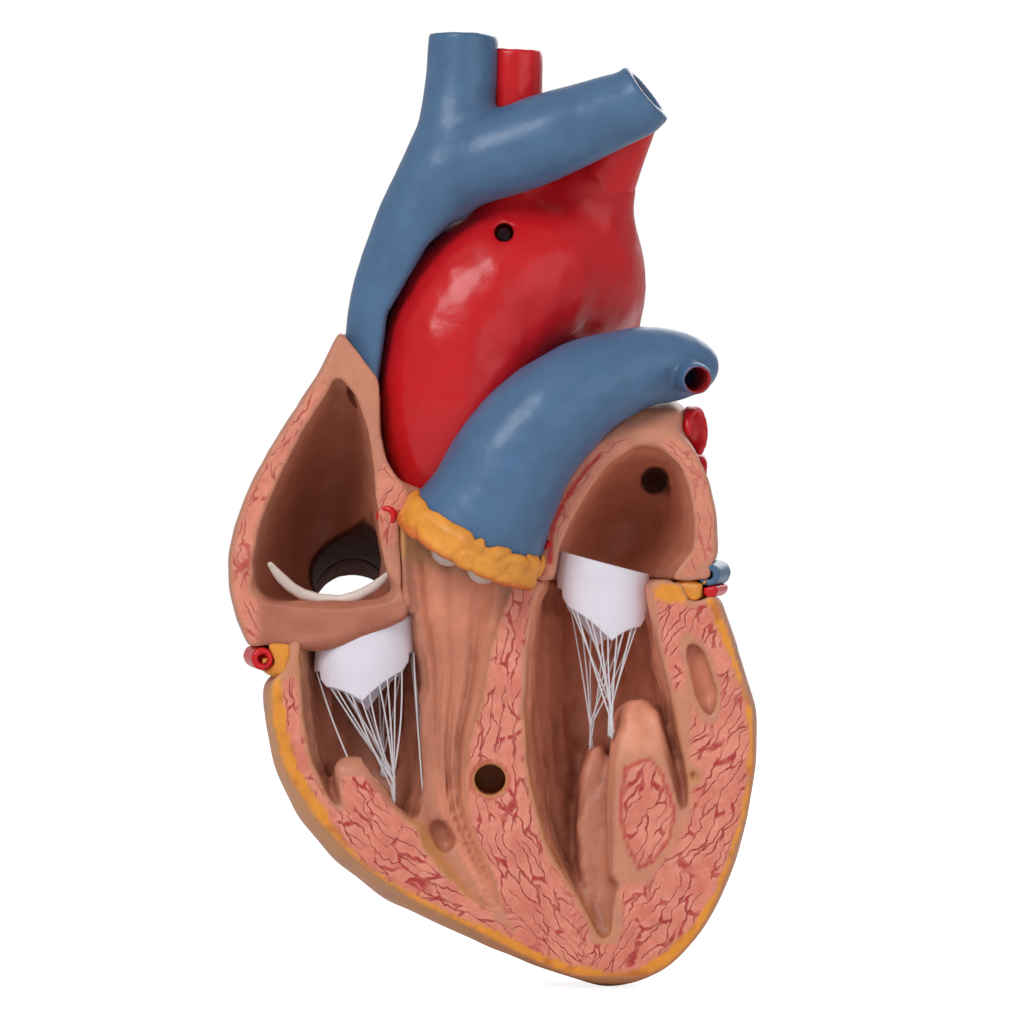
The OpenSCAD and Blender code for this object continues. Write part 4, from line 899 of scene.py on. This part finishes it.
def plain(node, main, dark, material, sigma=0.6, h=0.4, extra=None, grow=0.0):
    """The visible piece of a simple CAD node: its own form with a hand-made surface."""
    f = casting(node, sigma, h)
    f.a -= grow
    f.carve(lambda p: 0.06 * noise(p, 2.0, 60), 1.5)
    return painted(f, node + "_skin", node, main, dark, material, extra=extra)


for node, sigma in (("brachiocephalic_artery", 0.7), ("left_carotid_artery", 0.7), ("left_subclavian_artery", 0.9),
                    ("left_upper_lung_vein", 0.7), ("left_lower_lung_vein", 0.7), ("right_upper_lung_vein", 0.7),
                    ("right_lower_lung_vein", 0.7), ("right_coronary_artery", 0.45), ("right_coronary_origin", 0.4),
                    ("left_coronary_origin", 0.4), ("circumflex_artery", 0.4), ("rear_descending_artery", 0.4)):
    plain(node, RED, RED_SHADE, GLOSS_RED, sigma)


def paint_bore_shade(co, n, tone):
    """Painted shade: the lower great vein's bore is painted dark brown, like the chamber that it leads to."""
    return blend3(tone, BORE_SHADE, smooth(8.7, 8.2, from_bore(co)))


for node, sigma in (("right_pulmonary_artery", 0.9), ("lower_great_vein", 0.6), ("coronary_sinus", 0.45),
                    ("middle_cardiac_vein", 0.4)):
    lower = node == "lower_great_vein"
    plain(node, BLUE, BLUE_SHADE, resin("bore_paint", 0.7, spec=0.1) if lower else SATIN_BLUE, sigma,
          extra=paint_bore_shade if lower else None)


def wrinkles(p, size, seed):
    """Fine creases between soft folds."""
    return 1 - np.minimum(1, np.abs(noise(p, size, seed)) * 3.2)


def fat(node, name, sigma, h, deep, main=FAT, extra=None):
    f = casting(node, sigma, h)
    f.carve(lambda p: deep * wrinkles(p + 1.6 * noise(p, 5, 70)[:, None], (4.6, 4.6, 3.4), 71)
            + 0.05 * noise(p, 1.6, 72), 1.6)
    f.blur(0.3)
    # FAT_DARK * 0.8 goes into the creases as painted shade.
    painted(f, name, node, main, FAT_DARK * 0.8, FAT_PAINT, extra=extra)


COLLAR_RIM = px((398, 520), (425, 548), (465, 574), (500, 585), (545, 594))
fat("pulmonary_collar", "collar_skin", 0.55, 0.35, 0.40, FAT * (1.05, 1.12, 1.3),
    extra=lambda co, n, t: blend3(t, (0.60, 0.10, 0.03), 0.75 * smooth(
        1.7, 0.3, along(COLLAR_RIM, co[:, [0, 2]])[0] + 0.4 * noise(co, 2.5, 73))))
fat("right_groove_fat", "right_fat_skin", 0.5, 0.45, 0.35)
fat("left_groove_fat", "left_fat_skin", 0.5, 0.45, 0.35)
IVORY = np.array([0.66, 0.56, 0.50])
plain("pulmonary_cusps", IVORY, IVORY * 0.7, PALE, 0.45, 0.35)
plain("lower_vein_valve", IVORY * 1.2, IVORY * 0.8, PALE, 0.3, 0.3, grow=0.25)

# ------------ valves

n = Nodes("foil", 0.5, 0.4)
p = n.place()
FOIL = n.end(n.mix(n.noise(p, 0.12, 3, 0.5), (0.72, 0.68, 0.76), (0.79, 0.75, 0.84)),
             n.bump(n.noise(p, 0.5, 2, 0.5), 0.10, 0.4))
n = Nodes("thread", 0.7, 0.3)
p = n.place()
THREAD = n.end(n.mix(n.noise(p, 2.2, 2, 0.6), (0.78, 0.76, 0.80), (0.62, 0.58, 0.60)),
               n.bump(n.noise(p, 9.0, 1, 0.5), 0.05))

# centre x and y, half width, half depth, and the top's height at the left and at the right
CUFFS = {"tricuspid": ((-25.2, 8.2), 10.0, 7.2, 28.96, 32.96), "mitral": ((22.8, 8.6), 9.2, 7.6, 45.8, 41.0)}
BAND, FRONT_H, REAR_H, CREASE, THICK = 7.5, 6.5, 9.0, 0.6, 0.35      # heights of band, flaps and crease, foil, mm
TIP = {"tricuspid": 0.48, "mitral": 0.58}     # share of a flap's width


def flap_low(s, h, tip):
    """How far a flap hangs: two hollow edges that meet in a point."""
    t = np.where(s < tip, s / tip, (1 - s) / (1 - tip))
    return 0.6 + h * (0.10 + 0.22 * smooth(0, 0.22, t) + 0.68 * t ** 2.1)


def foil_sheet(valve, side):
    """Half of a cuff with its flap, one sheet of foil with two faces."""
    (cx, cy), hw, hd, left, right = CUFFS[valve]
    lo, hi, h = (205.0, 335.0, FRONT_H) if side == "front" else (30.0, 150.0, REAR_H)
    start, end = (178.0, 362.0) if side == "front" else (-2.0, 182.0)
    nu, nv = 120, 34
    ang = np.linspace(start, end, nu)
    rad = np.radians(ang)
    seed = {"tricuspid": 81, "mitral": 85}[valve] + (side == "front")
    x = cx + hw * np.cos(rad)
    top = left + (right - left) * (x - (cx - hw)) / (2 * hw)
    s = np.clip((ang - lo) / (hi - lo), 0, 1)
    low = np.where((ang > lo) & (ang < hi), CREASE + flap_low(s, h, TIP[valve]), 0.0)
    faces, pts = [], []
    for face in (0.0, THICK):
        for i in range(nu):
            v = np.linspace(0, 1, nv)
            z = top[i] - v * (BAND + low[i])
            q = np.c_[np.full(nv, x[i]), np.full(nv, cy + hd * math.sin(rad[i])), z]
            bend = 0.28 * noise(q, (5, 5, 7), seed) * smooth(0, 4, top[i] - z)
            drop = smooth(BAND, BAND + h, top[i] - z)
            r = 1 - face / hw - 0.06 * drop + bend / hw
            q[:, 0] = cx + hw * np.cos(rad[i]) * r
            q[:, 1] = cy + hd * math.sin(rad[i]) * (1 - face / hd - 0.06 * drop + bend / hd)
            pts.append(q)
    pts = np.vstack(pts)
    at = lambda f, i, j: f * nu * nv + i * nv + j
    for i in range(nu - 1):
        for j in range(nv - 1):
            faces.append((at(0, i, j), at(0, i + 1, j), at(0, i + 1, j + 1), at(0, i, j + 1)))
            faces.append((at(1, i, j + 1), at(1, i + 1, j + 1), at(1, i + 1, j), at(1, i, j)))
        faces.append((at(1, i, 0), at(1, i + 1, 0), at(0, i + 1, 0), at(0, i, 0)))
        faces.append((at(0, i, nv - 1), at(0, i + 1, nv - 1), at(1, i + 1, nv - 1), at(1, i, nv - 1)))
    for j in range(nv - 1):
        faces.append((at(0, 0, j), at(0, 0, j + 1), at(1, 0, j + 1), at(1, 0, j)))
        faces.append((at(1, nu - 1, j), at(1, nu - 1, j + 1), at(0, nu - 1, j + 1), at(0, nu - 1, j)))
    body = f"{valve}_{side}"
    o = piece(body + "_foil", pts, np.array(faces), body=None, material=FOIL)
    z = (left + right) / 2 - BAND
    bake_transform(o)
    nodes = [body + "_flap"] + ([valve + "_cuff"] if side == "front" else [])
    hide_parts(*nodes)
    return x, cy + hd * np.sin(rad), top - BAND - low, ang, lo, hi


def strand(path, r0, r1, sides=7):
    """A round thread along points, as points and quads, closed at both ends."""
    path = np.asarray(path, float)
    d = np.gradient(path, axis=0)
    d /= np.maximum(np.linalg.norm(d, axis=1, keepdims=True), 1e-9)
    a = np.cross(d, (0.3, 1.0, 0.1))
    a /= np.linalg.norm(a, axis=1, keepdims=True)
    b = np.cross(d, a)
    r = np.linspace(r0, r1, len(path))[:, None]
    rings = [path + r * (a * math.cos(t) + b * math.sin(t)) for t in np.arange(sides) * 2 * math.pi / sides]
    co = np.stack(rings, 1).reshape(-1, 3)
    at = lambda i, k: i * sides + k % sides
    faces = [(at(i, k), at(i, k + 1), at(i + 1, k + 1), at(i + 1, k))
             for i in range(len(path) - 1) for k in range(sides)]
    faces.append(tuple(range(sides))[::-1])
    faces.append(tuple((len(path) - 1) * sides + k for k in range(sides)))
    return co, faces


def strands(name, node, lines, body, blend=None):
    """One piece of threads, which rides on its body, or, given blend, stays on no body."""
    pts, faces, count = [], [], 0
    for path, r0, r1 in lines:
        co, fs = strand(path, r0, r1)
        pts.append(co)
        faces += [tuple(i + count for i in face) for face in fs]
        count += len(co)
    o = piece(name, np.vstack(pts), faces, body=None if blend else body, material=THREAD)
    if blend:
        tuple((np.array(blend[0]) - OFF) * MM)
        tuple((np.array(blend[1]) - OFF) * MM)
        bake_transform(o)
    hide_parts(node)


# where the threads of each flap meet on the papillary muscles
FEET = {("tricuspid", "front"): (-19.4, 5.4, -4.3), ("tricuspid", "rear"): (-21.7, 16.5, -0.2),
        ("mitral", "front"): (24.2, 1.9, 9.6), ("mitral", "rear"): (20.5, 14.2, 6.4)}
rng = np.random.default_rng(11)
for (valve, side), foot in FEET.items():
    x, y, z, ang, lo, hi = foil_sheet(valve, side)
    foot = np.array(foot)
    lines = []
    for s in np.linspace(0.1, 0.9, 10 if side == "front" else 7):
        k = int(np.argmin(np.abs(ang - (lo + s * (hi - lo)))))
        top = np.array([x[k], y[k], z[k] + 0.9])
        top[:2] += (np.array(CUFFS[valve][0]) - top[:2]) * 0.05
        knot = foot + np.array([rng.normal(0, 0.28), rng.normal(0, 0.15), rng.uniform(2.0, 5.5)])
        t = np.linspace(0, 1, 16)[:, None]
        sag = np.array([rng.normal(0, 0.35), rng.normal(0, 0.2), 0])
        upper = top * (1 - t) + knot * t + sag * np.sin(np.pi * t)
        tail = np.linspace(knot, foot + (rng.normal(0, 0.3), rng.normal(0, 0.15), -rng.uniform(0, 1.4)), 6)[1:]
        lines.append((np.vstack([upper, tail]), 0.16, 0.2))
    mean = (CUFFS[valve][3] + CUFFS[valve][4]) / 2 - BAND - 3
    strands(f"{valve}_{side}_strands", f"{valve}_{side}_threads", lines, f"{valve}_{side}",
            blend=(foot, (foot[0], foot[1], mean)))

lines = []
for top, foot in [((-34.9, 7.4, 21.4), (-28.2, 4, 3.4))] + [
        ((-15.4 - 0.12 * k, 7.0 + 0.75 * k, 25.4), (-13.4 + 0.2 * (k % 3), 5 + 0.75 * k, -4)) for k in range(7)]:
    top, foot = np.array(top, float), np.array(foot, float)
    t = np.linspace(0, 1, 14)[:, None]
    sag = np.array([rng.normal(0, 0.3), rng.normal(0, 0.2), 0])
    lines.append((top * (1 - t) + foot * t + sag * np.sin(np.pi * t), 0.16, 0.18))
strands("tricuspid_side_strands", "tricuspid_side_threads", lines, "heart")


# ------------ stage

world = bpy.data.worlds.new("studio")
bpy.context.scene.world = world
world.use_nodes = True
wt = world.node_tree
wt.nodes.clear()
world_out = new_node(wt, "OutputWorld")
light_path = new_node(wt, "LightPath")
seen = new_node(wt, "Math")
seen.operation = "MAXIMUM"
mixer = new_node(wt, "MixShader")
soft_light, white = new_node(wt, "Background"), new_node(wt, "Background")
soft_light.inputs["Strength"].default_value = 0.42
soft_light.inputs["Color"].default_value = white.inputs["Color"].default_value = (1, 1, 1, 1)
for out, into in ((light_path.outputs["Is Camera Ray"], seen.inputs[0]),
                  (light_path.outputs["Is Transmission Ray"], seen.inputs[1]), (seen.outputs[0], mixer.inputs[0]),
                  (soft_light.outputs[0], mixer.inputs[1]), (white.outputs[0], mixer.inputs[2]),
                  (mixer.outputs[0], world_out.inputs[0])):
    wt.links.new(out, into)


def lamp(name, at, size, energy):
    data = bpy.data.lights.new(name, "AREA")
    data.size = size
    data.energy = energy
    o = bpy.data.objects.new(name, data)
    bpy.context.scene.collection.objects.link(o)
    o.location = at
    o.rotation_euler = (Vector((0, 0, 0.09)) - Vector(at)).to_track_quat("-Z", "Y").to_euler()


lamp("key", (-0.42, -0.75, 0.66), 0.40, 4.9)
lamp("fill", (0.62, -0.70, 0.22), 0.70, 1.7)
lamp("back", (0.25, 0.80, 0.55), 0.60, 3.0)

lens = bpy.data.cameras.new("camera")
lens.lens, lens.sensor_width = 200, 36
camera = bpy.data.objects.new("camera", lens)
bpy.context.scene.collection.objects.link(camera)
FACE_Y, AWAY = -0.022, 1.138           # the mating face, and how far in front of it the camera stands, m
camera.location = (-0.0096, FACE_Y - AWAY, 0.0926)
camera.rotation_euler = (math.pi / 2, 0, 0)
bpy.context.scene.camera = camera
bpy.context.scene.view_settings.view_transform = "Standard"

floor_mesh = bpy.data.meshes.new("floor")
HALF, FLOOR_Z = 1.6, -0.0031           # m
square = ((-HALF, -HALF), (HALF, -HALF), (HALF, HALF), (-HALF, HALF))
floor_mesh.from_pydata([(x, y, FLOOR_Z) for x, y in square], [], [(0, 1, 2, 3)])
floor = bpy.data.objects.new("floor", floor_mesh)
bpy.context.scene.collection.objects.link(floor)
paper = bpy.data.materials.new("paper")
paper.use_nodes = True
ft = paper.node_tree
paper_bsdf = ft.nodes["Principled BSDF"]
paper_bsdf.inputs["Base Color"].default_value = (0.8, 0.8, 0.8, 1)
paper_bsdf.inputs["Roughness"].default_value = 0.9
glow = new_node(ft, "Emission")
paper_path = new_node(ft, "LightPath")
lift = new_node(ft, "Math")
lift.operation = "MULTIPLY"
lift.inputs[1].default_value = 0.85
both = new_node(ft, "AddShader")
for out, into in ((paper_path.outputs["Is Camera Ray"], lift.inputs[0]), (lift.outputs[0], glow.inputs["Strength"]),
                  (paper_bsdf.outputs[0], both.inputs[0]), (glow.outputs[0], both.inputs[1]),
                  (both.outputs[0], ft.nodes["Material Output"].inputs[0])):
    ft.links.new(out, into)
floor_mesh.materials.append(paper)
